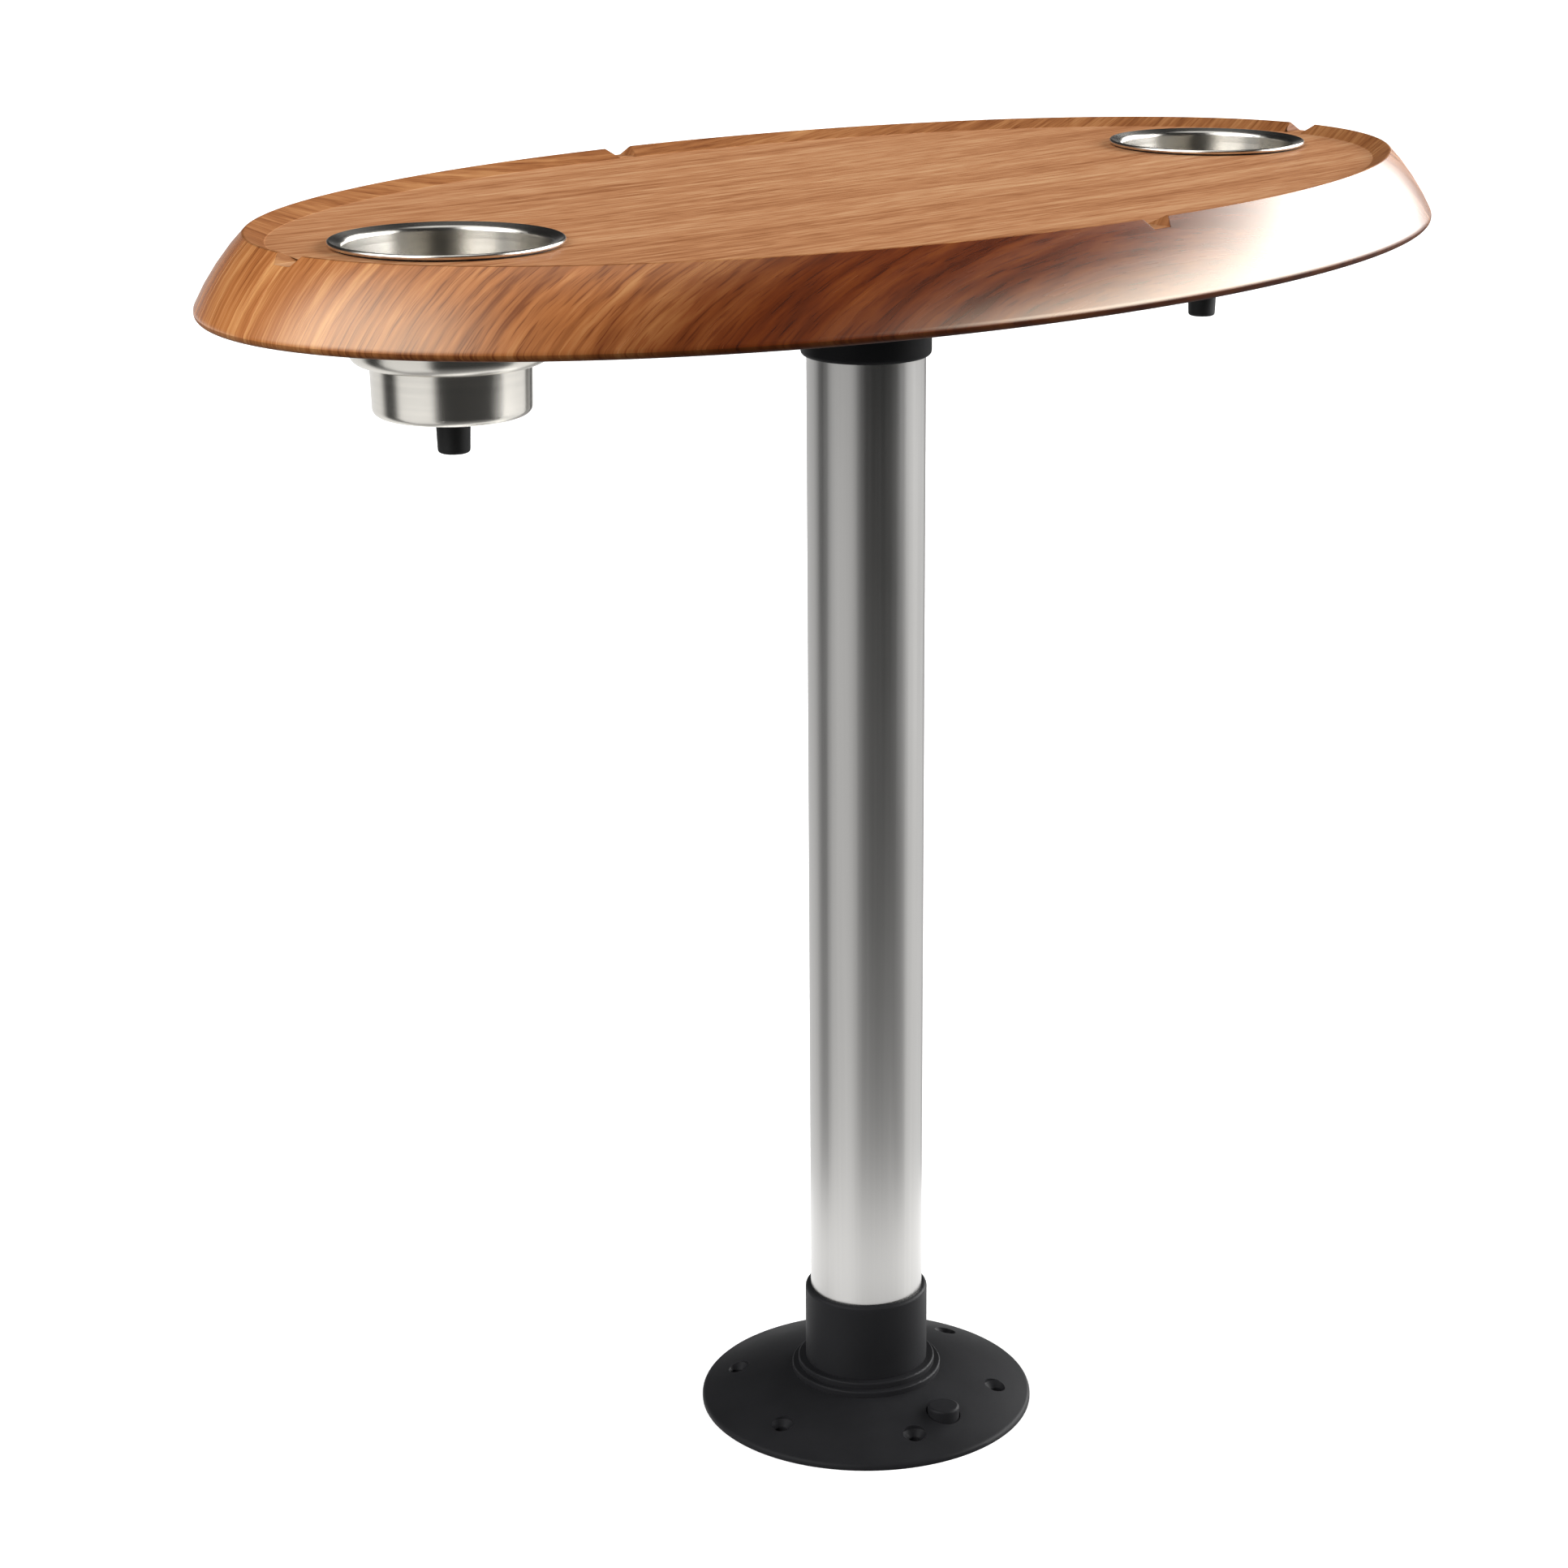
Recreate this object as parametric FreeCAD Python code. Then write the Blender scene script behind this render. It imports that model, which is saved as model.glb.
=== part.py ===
import FreeCAD, Part
import math
import os

# Pedestal table: an oval tray top with two cup holders plugs onto one tube, and the tube plugs into
# a floor base with a push-button latch. Millimetres and degrees. The origin is the centre of the
# base's underside, +X runs along the long axis of the top and +Z is up.

Vector = FreeCAD.Vector
ORIGIN = Vector(0, 0, 0)
UP = Vector(0, 0, 1)
FULL_TURN = 360.0
QUARTER_TURN = 90.0

# Clearances
overrun = 5.0                   # how far a cutting tool runs past the face that it cuts
running_fit = 0.08              # radial play of the tube in its sockets, and of the caps on their nipples
bond_gap = 0.05                 # gap of glued, pressed and screwed pieces
slide_gap = 0.3                 # play on each side of a flat sliding piece
drop_in_gap = 0.6               # radial play of a piece that drops into a hole

# Pedestal tube and its end plugs
tube_diameter = 60.3
tube_wall = 2.0
tube_length = 609.6
plug_depth = 34.0               # how far a plug reaches into the tube
plug_wall = 4.0
plug_play = 0.15                # how far a plug's head lies inside the tube's outside
top_plug_head = 1.5
foot_lip = 2.0                  # lip of the foot plug below its groove
foot_lip_chamfer = 0.8
groove_height = 4.0
groove_depth = 2.6
foot_collar = 2.5               # foot plug between its groove and the tube's end
washer_thickness = 1.0
washer_bore_diameter = 24.0

# Floor base
base_diameter = 180.0
base_edge_height = 3.6
base_edge_radius = 2.4
edge_turn = 68.0                # angle of the rounded edge, up to the dome
dome_height = 16.8              # dome where it meets the foot ring
dome_bulge = 1.4
base_wall = 2.6
base_rim_wall = 6.0
base_floor = 2.0
floor_drain_diameter = 12.0
socket_wall = 2.8
base_socket_height = 66.5
socket_lip_radius = 2.0
foot_ring_width = 7.5           # lower step round the socket's foot
foot_ring_height = 3.4
upper_ring_width = 4.1
upper_ring_height = 3.5
ring_edge_radius = 0.9
hole_count = 6
hole_inset = 18.0               # from the base's edge to the circle of holes
hole_phase = 6.3
hole_diameter = 6.5
countersink_diameter = 13.0
hole_boss_diameter = 16.0
rib_count = 12
rib_thickness = 2.4

# Latch: button, bolt, spring and cover, laid out along one radius of the base
latch_angle = -93.8
button_diameter = 17.0
button_gap = 0.7
button_stand = 4.6              # cap above the dome at its centre
button_edge_radius = 1.6
button_travel = 3.0
stem_reach = 6.0                # from the stem's inner face to the button's axis
stem_width = 7.2
stem_tip = 3.4                  # flat end of the stem, before its slope
stem_floor_gap = 0.4            # end of the pressed stem above the floor
lug_length = 8.0
lug_width = 3.5
lug_thickness = 1.6
lug_drop = 0.7                  # top of the lugs below the cap
column_width = 1.5
bolt_width = 13.0
bolt_height = 3.2
bolt_end_wall = 5.5
nose_width = 10.0
nose_chamfer = 1.6
riser_length = 4.5
spring_length = 8.0
spring_diameter = 3.4
spring_wire = 0.6
spring_turns = 5
tab_thickness = 2.0             # upright tab of the cover, which the spring bears on
tab_width = 6.6
tab_gap = 1.6
cover_thickness = 1.4
cover_lap = 2.0
cover_screw_diameter = 2.8
cover_screw_head = 5.0
cover_screw_length = 6.5

# Table top
top_length = 742.0
top_width = 422.0
deck_thickness = 4.0
rim_height = 5.3                # ridge above the deck
ridge_radius = 1.2
rim_slope_width = 9.6           # inner slope of the rim, from the deck to the ridge
ridge_flat = 0.3
skirt_flare = 23.5              # how far the skirt stands out from the ridge
skirt_lean = 25.0               # lean of the skirt's outside above its lip
skirt_wall = 8.0
lip_radius = 3.5                # rounded lower edge of the skirt
lip_steps = 3
skirt_steps = 4
ridge_steps = 2
rebate_wall = 7.0               # skirt beside the panel's rebate
ledge_width = 4.0
notch_count = 4
notch_top_width = 18.0
notch_floor_width = 11.0
notch_floor_rise = 0.2
boss_count = 8
boss_diameter = 10.0

# Board, block and panel inside the top
board_thickness = 12.0
board_edge_gap = 10.0           # edge of the board inside the ridge line
block_thickness = 12.0
block_length = 180.0
block_width = 160.0
block_corner_radius = 20.0
panel_thickness = 3.2
panel_recess = 0.8              # panel above the skirt's lower edge
panel_screw_diameter = 3.9
panel_screw_head = 7.4
panel_screw_length = 15.0

# Socket under the top
top_socket_floor = 4.8
top_socket_collar = 46.0        # collar below the flange
collar_edge_radius = 2.4
top_flange_width = 42.0
top_flange_thickness = 5.0
top_flange_edge_radius = 2.0
top_flange_fillet = 5.0
socket_screw_count = 6
socket_screw_diameter = 4.8
socket_screw_head = 9.4
socket_screw_length = 18.0

# Cup holders
cup_inset = 85.2                # from the ridge's end to the cup's axis
cup_body_diameter = 94.0
cup_flange_width = 6.0
cup_flange_rise = 1.2
cup_bead_radius = 1.1
cup_bead_turn = 100.0
cup_throat_radius = 2.5
cup_throat_turn = 95.0
cup_flange_lap = 4.0
cup_wall = 0.9
cup_step_depth = 52.0
cup_lower_diameter = 73.0
cup_depth = 75.6
cup_taper = 0.5
cup_body_taper = 1.5
cup_heel_radius = 3.5
shoulder_share = 0.6            # rounded shoulder, as a share of the step's width
gasket_thickness = 0.8
nipple_diameter = 10.6
nipple_length = 12.0
nipple_bore_diameter = 5.2
drain_cap_diameter = 16.0
drain_cap_length = 18.0
drain_cap_taper = 0.6
drain_cap_edge_radius = 1.6

# Heights and radii that follow from the sizes above
tube_radius = tube_diameter / 2
tube_bore = tube_radius - tube_wall
socket_bore = tube_radius + running_fit
socket_radius = socket_bore + socket_wall
foot_radius = socket_radius + foot_ring_width
base_radius = base_diameter / 2
hole_circle_radius = base_radius - hole_inset

washer_bottom = base_floor
foot_bottom = washer_bottom + washer_thickness
groove_bottom = foot_bottom + foot_lip
groove_top = groove_bottom + groove_height
tube_bottom = groove_top + foot_collar
tube_top = tube_bottom + tube_length
top_socket_ceiling = tube_top + top_plug_head
panel_bottom = top_socket_ceiling + top_socket_floor
panel_top = panel_bottom + panel_thickness
board_bottom = panel_top + block_thickness
deck_bottom = board_bottom + board_thickness
deck_top = deck_bottom + deck_thickness
skirt_bottom = panel_bottom - panel_recess

ridge_half_length = top_length / 2 - skirt_flare
ridge_half_width = top_width / 2 - skirt_flare
ledge_outset = skirt_flare - rebate_wall - ledge_width
cup_place = ridge_half_length - cup_inset
cup_radius = cup_body_diameter / 2
cup_flange_radius = cup_radius + cup_flange_width
cup_hole_radius = cup_radius + drop_in_gap

# Latch sizes along its radius and upwards
cover_top = bond_gap + cover_thickness
bolt_bottom = cover_top + slide_gap
bolt_top = bolt_bottom + bolt_height
nose_bottom = groove_bottom + slide_gap
nose_top = groove_top - slide_gap
nose_start = tube_radius - plug_play - groove_depth + slide_gap
riser_start = foot_radius + slide_gap
riser_end = riser_start + riser_length
tab_start = riser_end + spring_length
tab_end = tab_start + tab_thickness
stem_start = tab_end + tab_gap
stem_bottom = stem_floor_gap + button_travel
button_place = stem_start + stem_reach
slope_start = stem_start + stem_tip - (stem_bottom - bolt_bottom) + slide_gap
bolt_end = slope_start + bolt_height + bolt_end_wall
pocket_end = bolt_end + button_travel + slide_gap
cap_bottom = bolt_top + button_travel + slide_gap
lug_top = cap_bottom - lug_drop
lug_room_start = button_place - lug_length / 2 - slide_gap
lug_room_end = button_place + lug_length / 2 + slide_gap
lug_start = bolt_width / 2 + slide_gap
lug_room_half = lug_start + lug_width + slide_gap
cover_start = foot_radius - cover_lap
cover_end = pocket_end + cover_lap + cover_screw_head / 2
cover_half = lug_room_half + cover_lap


def on_arc(centre, radius, angle):
    """Point of a profile on an arc, from the arc's centre and an angle."""
    turn = math.radians(angle)
    return (centre[0] + radius * math.cos(turn), centre[1] + radius * math.sin(turn))


def bend(centre, radius, first_angle, last_angle):
    """Round stretch of a profile: the arc's middle and its end."""
    middle_angle = (first_angle + last_angle) / 2
    return [on_arc(centre, radius, middle_angle), on_arc(centre, radius, last_angle)]


def profile(start, *stretches):
    """Closed face in the XZ plane. A stretch of one point is a line, one of two points is an arc."""
    edges = []
    first = Vector(start[0], 0, start[1])
    here = first
    for stretch in stretches:
        points = [Vector(radius, 0, height) for radius, height in stretch]
        if len(points) == 1:
            edges.append(Part.LineSegment(here, points[0]).toShape())
        else:
            edges.append(Part.Arc(here, *points).toShape())
        here = points[-1]
    edges.append(Part.LineSegment(here, first).toShape())
    return Part.Face(Part.Wire(edges))


def turned(start, *stretches):
    """Solid turned about the Z axis from a profile."""
    return profile(start, *stretches).revolve(ORIGIN, UP, FULL_TURN)


def disc(radius, bottom, top, x=0, y=0):
    """Upright cylinder between two heights."""
    return Part.makeCylinder(radius, top - bottom, Vector(x, y, bottom))


def slab(x_start, x_end, y_start, y_end, bottom, top):
    """Box between two corners."""
    return Part.makeBox(x_end - x_start, y_end - y_start, top - bottom, Vector(x_start, y_start, bottom))


def bar(x_start, x_end, width, bottom, top):
    """Box that lies evenly on both sides of the X axis."""
    return slab(x_start, x_end, -width / 2, width / 2, bottom, top)


def wedge(outline, width):
    """Solid of an XZ outline of straight lines, evenly on both sides of the X axis."""
    face = profile(outline[0], *[[point] for point in outline[1:]])
    face.translate(Vector(0, -width / 2, 0))
    return face.extrude(Vector(0, width, 0))


def around(shape, count, phase):
    """Copies of a shape, spread evenly about the Z axis."""
    copies = []
    for index in range(count):
        copy = shape.copy()
        copy.rotate(ORIGIN, UP, phase + FULL_TURN * index / count)
        copies.append(copy)
    return copies


def at_latch(shape):
    """Shape turned from the X axis to the latch's radius."""
    shape.rotate(ORIGIN, UP, latch_angle)
    return shape


def moved(shape, x, y=0, z=0):
    """Copy of a shape at another place."""
    copy = shape.copy()
    copy.translate(Vector(x, y, z))
    return copy


def oval(outset, height):
    """Oval wire, outset from the line of the rim's ridge."""
    centre = Vector(0, 0, height)
    ellipse = Part.Ellipse(centre, ridge_half_length + outset, ridge_half_width + outset)
    return Part.Wire(ellipse.toShape())


def oval_loft(sections, ruled):
    """Solid through ovals, each given by its outset and its height."""
    return Part.makeLoft([oval(outset, height) for outset, height in sections], True, ruled)


def oval_plate(outset, bottom, top):
    """Flat oval plate."""
    return Part.Face(oval(outset, bottom)).extrude(Vector(0, 0, top - bottom))


def oval_places(outset, count):
    """Places spread along an oval, clear of the ends of its axes."""
    places = []
    for index in range(count):
        turn = math.radians(FULL_TURN * (index + 1 / 2) / count)
        x = (ridge_half_length + outset) * math.cos(turn)
        y = (ridge_half_width + outset) * math.sin(turn)
        places.append((x, y))
    return places


def screw(diameter, head_diameter, length):
    """Countersunk screw that points up, with its head's face at height zero."""
    shank = diameter / 2
    head = head_diameter / 2
    return turned((0, 0), [(head, 0)], [(shank, head - shank)], [(shank, length)], [(0, length)])


def screw_hole(diameter, head_diameter, length):
    """Room for such a screw, open below its head."""
    shank = diameter / 2 + bond_gap
    head = head_diameter / 2 + bond_gap
    end = length + bond_gap
    return turned((0, -overrun), [(head, -overrun)], [(head, 0)], [(shank, head - shank)],
                  [(shank, end)], [(0, end)])


def dome_start():
    """End of the base's rounded edge, where the dome begins."""
    centre = (base_radius - base_edge_radius, base_edge_height - base_edge_radius)
    return on_arc(centre, base_edge_radius, edge_turn)


def dome_arc():
    """Centre and radius of the dome's arc, from its chord and its bulge."""
    outer_r, outer_z = dome_start()
    run = outer_r - foot_radius
    rise = dome_height - outer_z
    chord = math.hypot(run, rise)
    radius = (chord ** 2 / 4 + dome_bulge ** 2) / (2 * dome_bulge)
    drop = radius - dome_bulge
    centre_r = (outer_r + foot_radius) / 2 - drop * rise / chord
    centre_z = (outer_z + dome_height) / 2 - drop * run / chord
    return (centre_r, centre_z), radius


def dome_at(place):
    """Height of the dome at a radius."""
    centre, radius = dome_arc()
    return centre[1] + math.sqrt(radius ** 2 - (place - centre[0]) ** 2)


def base_outside():
    """Outside of the base, filled: rounded edge, dome, two foot rings and the socket."""
    edge = (base_radius - base_edge_radius, base_edge_height - base_edge_radius)
    middle_r = (dome_start()[0] + foot_radius) / 2
    foot_top = dome_height + foot_ring_height
    foot_edge = (foot_radius - ring_edge_radius, foot_top - ring_edge_radius)
    upper_radius = socket_radius + upper_ring_width
    upper_top = foot_top + upper_ring_height
    upper_edge = (upper_radius - ring_edge_radius, upper_top - ring_edge_radius)
    lip = socket_radius - socket_lip_radius
    lip_height = base_socket_height - socket_lip_radius
    return turned(
        (0, 0), [(base_radius, 0)], [(base_radius, edge[1])],
        bend(edge, base_edge_radius, 0, edge_turn),
        [(middle_r, dome_at(middle_r)), (foot_radius, dome_height)],
        [(foot_radius, foot_edge[1])], bend(foot_edge, ring_edge_radius, 0, QUARTER_TURN),
        [(upper_radius, foot_top)],
        [(upper_radius, upper_edge[1])], bend(upper_edge, ring_edge_radius, 0, QUARTER_TURN),
        [(socket_radius, upper_top)], [(socket_radius, lip_height)],
        bend((lip, lip_height), socket_lip_radius, 0, QUARTER_TURN),
        [(0, base_socket_height)])


def base_hollow():
    """Room under the dome, less the ribs, the screw bosses and the latch's housing."""
    inner = foot_radius + base_wall
    outer = base_radius - base_rim_wall
    room = turned((inner, -overrun), [(outer, -overrun)], [(outer, dome_at(outer) - base_wall)],
                  [(inner, dome_at(inner) - base_wall)])
    rib = bar(0, base_radius, rib_thickness, 0, dome_height)
    boss = disc(hole_boss_diameter / 2, 0, dome_height, hole_circle_radius)
    housing = at_latch(bar(0, cover_end + base_wall, 2 * (cover_half + base_wall), 0, dome_height))
    kept = around(rib, rib_count, hole_phase) + around(boss, hole_count, hole_phase) + [housing]
    return room.cut(kept)


def deck_hole():
    """Countersunk hole of the base, with its countersink level with the dome at the hole's centre."""
    mouth = dome_at(hole_circle_radius)
    hole = hole_diameter / 2
    sink = countersink_diameter / 2
    tool = turned((0, -overrun), [(hole, -overrun)], [(hole, mouth - (sink - hole))], [(sink, mouth)],
                  [(sink, mouth + overrun)], [(0, mouth + overrun)])
    return moved(tool, hole_circle_radius)


def latch_pocket():
    """Room for the bolt, the button and the cover, cut from below along the X axis."""
    channel_width = bolt_width + 2 * slide_gap
    channel = bar(foot_radius, pocket_end, channel_width, -overrun, bolt_top + slide_gap)
    riser_room = bar(foot_radius, riser_end + button_travel + slide_gap, channel_width, 0, groove_top)
    nose_room = bar(0, riser_end, nose_width + 2 * slide_gap, groove_bottom, groove_top)
    lug_room = bar(lug_room_start, lug_room_end, 2 * lug_room_half, -overrun, lug_top + slide_gap)
    cover_room = bar(cover_start - bond_gap, cover_end + bond_gap, 2 * (cover_half + bond_gap), -overrun,
                     cover_top)
    cap_room = disc(button_diameter / 2 + button_gap, bolt_bottom, dome_height + overrun, button_place)
    screws = [moved(screw_hole(cover_screw_diameter, cover_screw_head, cover_screw_length), x, y, bond_gap)
              for x, y in cover_screw_places()]
    return channel.multiFuse([riser_room, nose_room, lug_room, cover_room, cap_room] + screws)


def cover_screw_places():
    """Places of the cover's screws beside the bolt's channel, along the X axis."""
    across = (bolt_width / 2 + slide_gap + cover_half) / 2
    near = (foot_radius + lug_room_start) / 2
    far = (lug_room_end + cover_end) / 2
    return [(x, y) for x in (near, far) for y in (-across, across)]


def base_flange():
    """Moulded floor base."""
    bore = disc(socket_bore, base_floor, base_socket_height + overrun)
    drain = disc(floor_drain_diameter / 2, -overrun, base_floor + overrun)
    tools = [base_hollow(), bore, drain, at_latch(latch_pocket())]
    return base_outside().cut(tools + around(deck_hole(), hole_count, hole_phase))


def thrust_washer():
    """Flat ring on the socket's floor."""
    outside = disc(socket_bore - drop_in_gap, washer_bottom, foot_bottom)
    return outside.cut(disc(washer_bore_diameter / 2, washer_bottom - overrun, foot_bottom + overrun))


def release_button():
    """Push button: round cap, two lugs that keep it in, and a stem with a sloped end."""
    radius = button_diameter / 2
    top = dome_at(button_place) + button_stand
    edge = (radius - button_edge_radius, top - button_edge_radius)
    cap = moved(turned((0, cap_bottom), [(radius, cap_bottom)], [(radius, edge[1])],
                       bend(edge, button_edge_radius, 0, QUARTER_TURN), [(0, top)]), button_place)
    stem_top = cap_bottom + lug_drop
    slope = stem_top - stem_bottom
    stem = wedge([(stem_start, stem_top), (stem_start, stem_bottom), (stem_start + stem_tip, stem_bottom),
                  (stem_start + stem_tip + slope, stem_top)], stem_width)
    lug_bottom = lug_top - lug_thickness
    lug_x = (button_place - lug_length / 2, button_place + lug_length / 2)
    pieces = [stem]
    for side in (-1, 1):
        lug_y = sorted((side * lug_start, side * (lug_start + lug_width)))
        column_y = sorted((side * lug_start, side * (lug_start + column_width)))
        column = slab(*lug_x, *column_y, lug_bottom, stem_top)
        pieces.append(slab(*lug_x, *lug_y, lug_bottom, lug_top))
        pieces.append(column.common(disc(radius, lug_bottom, stem_top, button_place)))
    return at_latch(cap.multiFuse(pieces).removeSplitter())


def lock_bolt():
    """Latch bolt: a nose for the groove, a riser, and a frame with a sloped end that the stem drives."""
    body = bar(riser_start, bolt_end, bolt_width, bolt_bottom, bolt_top)
    riser = bar(riser_start, riser_end, bolt_width, bolt_bottom, nose_top)
    nose = wedge([(nose_start, nose_bottom), (riser_end, nose_bottom), (riser_end, nose_top),
                  (nose_start + nose_chamfer, nose_top), (nose_start, nose_top - nose_chamfer)], nose_width)
    low = bolt_bottom - overrun
    high = bolt_top + overrun
    window = wedge([(riser_end, low), (slope_start - overrun, low),
                    (slope_start + bolt_height + overrun, high), (riser_end, high)],
                   stem_width + 4 * slide_gap)
    return at_latch(body.cut(window).multiFuse([riser, nose]).removeSplitter())


def bolt_spring():
    """Helical spring between the bolt's riser and the cover's tab, as half turns along the X axis."""
    coil_radius = (spring_diameter - spring_wire) / 2
    height = (bolt_bottom + bolt_top) / 2
    start = riser_end + bond_gap + spring_wire / 2
    pitch = (spring_length - 2 * bond_gap - spring_wire) / spring_turns
    quarters = 4

    def on_coil(quarter):
        turn = math.radians(QUARTER_TURN * quarter)
        return Vector(start + pitch * quarter / quarters, coil_radius * math.cos(turn),
                      height + coil_radius * math.sin(turn))

    edges = []
    for half in range(2 * spring_turns):
        edges.append(Part.Arc(on_coil(2 * half), on_coil(2 * half + 1), on_coil(2 * half + 2)).toShape())
    path = Part.Wire(edges)
    along = edges[0].tangentAt(edges[0].FirstParameter)
    section = Part.Wire(Part.Circle(on_coil(0), along, spring_wire / 2).toShape())
    print("bolt spring: gap between turns", round(pitch - spring_wire, 2))
    return at_latch(path.makePipeShell([section], True, False))


def latch_cover():
    """Plate that closes the latch's pocket from below, with the tab that the spring bears on."""
    plate = bar(cover_start, cover_end, 2 * cover_half, bond_gap, cover_top)
    tab = bar(tab_start, tab_end, tab_width, bond_gap, bolt_top)
    slot = bar(stem_start - slide_gap, stem_start + stem_tip + cover_top + 2 * slide_gap,
               stem_width + 2 * slide_gap, -overrun, cover_top + overrun)
    holes = [moved(screw_hole(cover_screw_diameter, cover_screw_head, cover_screw_length), x, y, bond_gap)
             for x, y in cover_screw_places()]
    return at_latch(plate.cut([slot] + holes).fuse(tab).removeSplitter())


def cover_screws():
    """Four screws of the latch's cover."""
    one = screw(cover_screw_diameter, cover_screw_head, cover_screw_length)
    return at_latch(Part.Compound([moved(one, x, y, bond_gap) for x, y in cover_screw_places()]))


def pedestal_tube():
    """Plain round tube."""
    return disc(tube_radius, tube_bottom, tube_top).cut(
        disc(tube_bore, tube_bottom - overrun, tube_top + overrun))


def tube_foot_plug():
    """Plug in the tube's foot, with the all-round groove for the bolt."""
    head = tube_radius - plug_play
    groove = head - groove_depth
    spigot = tube_bore - bond_gap
    hollow = spigot - plug_wall
    end = tube_bottom + plug_depth
    return turned(
        (0, foot_bottom), [(head - foot_lip_chamfer, foot_bottom)], [(head, foot_bottom + foot_lip_chamfer)],
        [(head, groove_bottom)], [(groove, groove_bottom)], [(groove, groove_top)], [(head, groove_top)],
        [(head, tube_bottom)], [(spigot, tube_bottom)], [(spigot, end)], [(hollow, end)],
        [(hollow, tube_bottom)], [(0, tube_bottom)])


def tube_top_plug():
    """Cap plug in the tube's top."""
    head = tube_radius - plug_play
    spigot = tube_bore - bond_gap
    hollow = spigot - plug_wall
    end = tube_top - plug_depth
    return turned(
        (0, top_socket_ceiling), [(head, top_socket_ceiling)], [(head, tube_top)], [(spigot, tube_top)],
        [(spigot, end)], [(hollow, end)], [(hollow, tube_top)], [(0, tube_top)])


def skirt_arc():
    """Centre and radius of the skirt's arc, as an outset and a height, and its angle at the ridge."""
    out, start = on_arc((skirt_flare - lip_radius, skirt_bottom + lip_radius), lip_radius, skirt_lean)
    rise = deck_top + rim_height - ridge_radius / 2 - start
    facing = on_arc((0, 0), 1, skirt_lean)
    radius = (out ** 2 + rise ** 2) / (2 * (out * facing[0] - rise * facing[1]))
    centre = (out - radius * facing[0], start - radius * facing[1])
    return centre, radius, math.degrees(math.atan2(start + rise - centre[1], -centre[0]))


def skirt_outset(height):
    """Outset of the skirt's outside at a height."""
    centre, radius, ridge_angle = skirt_arc()
    return centre[0] + math.sqrt(radius ** 2 - (height - centre[1]) ** 2)


def skirt_sections():
    """Ovals of the top's outside: round lower lip, curved skirt and round ridge, upwards."""
    lip = (skirt_flare - lip_radius, skirt_bottom + lip_radius)
    centre, radius, ridge_angle = skirt_arc()
    shoulder = on_arc(centre, radius, ridge_angle)
    inward = on_arc((0, 0), ridge_radius, ridge_angle)
    ridge = (shoulder[0] - inward[0], shoulder[1] - inward[1])
    sections = [on_arc(lip, lip_radius, (QUARTER_TURN + skirt_lean) * step / lip_steps - QUARTER_TURN)
                for step in range(lip_steps)]
    sections += [on_arc(centre, radius, skirt_lean + (ridge_angle - skirt_lean) * step / skirt_steps)
                 for step in range(skirt_steps)]
    sections += [on_arc(ridge, ridge_radius, ridge_angle + (QUARTER_TURN - ridge_angle) * step / ridge_steps)
                 for step in range(ridge_steps + 1)]
    return sections


def tray_room():
    """Space above the deck, inside the sloped rim."""
    ridge_outset, ridge_top = skirt_sections()[-1]
    inner_edge = ridge_outset - ridge_flat
    slope = rim_slope_width / (ridge_top - deck_top)
    return oval_loft([(inner_edge - rim_slope_width, deck_top),
                      (inner_edge + overrun * slope, ridge_top + overrun)], True)


def top_hollow():
    """Space under the deck: the panel's rebate, and the room above its ledge."""
    rebate = oval_plate(ledge_outset + ledge_width, skirt_bottom - overrun, panel_top)
    sections = []
    for height in (panel_top, (panel_top + deck_bottom) / 2, deck_bottom):
        sections.append((min(ledge_outset, skirt_outset(height) - skirt_wall), height))
    return [rebate, oval_loft(sections, True)]


def drain_notch():
    """Sloped notch through the rim, along the X axis from the centre outwards."""
    floor = deck_top + notch_floor_rise
    top = deck_top + rim_height
    spread = (notch_top_width - notch_floor_width) / 2 / (top - floor)
    half_top = notch_top_width / 2 + overrun * spread
    outline = [(-notch_floor_width / 2, floor), (notch_floor_width / 2, floor),
               (half_top, top + overrun), (-half_top, top + overrun)]
    face = Part.Face(Part.makePolygon([Vector(0, y, z) for y, z in outline + outline[:1]]))
    return face.extrude(Vector(top_length, 0, 0))


def cup_holes(radius, bottom, top):
    """Round holes for both cups through a plate between two heights."""
    return [disc(radius, bottom - overrun, top + overrun, side * cup_place) for side in (-1, 1)]


def boss_places():
    """Places of the panel's screws, in bosses against the skirt."""
    return oval_places(ledge_outset - boss_diameter / 2, boss_count)


def panel_screw_holes():
    """Room for the panel's screws in the panel and in the bosses."""
    tool = screw_hole(panel_screw_diameter, panel_screw_head, panel_screw_length)
    return [moved(tool, x, y, panel_bottom) for x, y in boss_places()]


def table_top():
    """Moulded oval tray with a raised rim, drain notches and a flared skirt."""
    outside = oval_loft(skirt_sections(), False)
    inner_edge = rim_slope_width + notch_top_width
    rim_zone = oval_plate(skirt_flare, deck_top - overrun, deck_top + rim_height + 2 * overrun).cut(
        oval_plate(-inner_edge, deck_top - 2 * overrun, deck_top + rim_height + 2 * overrun))
    notches = [copy.common(rim_zone) for copy in around(drain_notch(), notch_count, 0)]
    boss_top = deck_bottom + deck_thickness / 2
    bosses = [disc(boss_diameter / 2, panel_top, boss_top, x, y) for x, y in boss_places()]
    shell = outside.cut([tray_room()] + top_hollow()).multiFuse(bosses)
    holes = cup_holes(cup_hole_radius, skirt_bottom, deck_top) + panel_screw_holes()
    return shell.cut(notches + holes)


def stiffening_board():
    """Plywood oval under the deck, with holes for the cups."""
    plate = oval_plate(-board_edge_gap, board_bottom, deck_bottom)
    return plate.cut(cup_holes(cup_hole_radius + drop_in_gap, board_bottom, deck_bottom))


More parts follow.
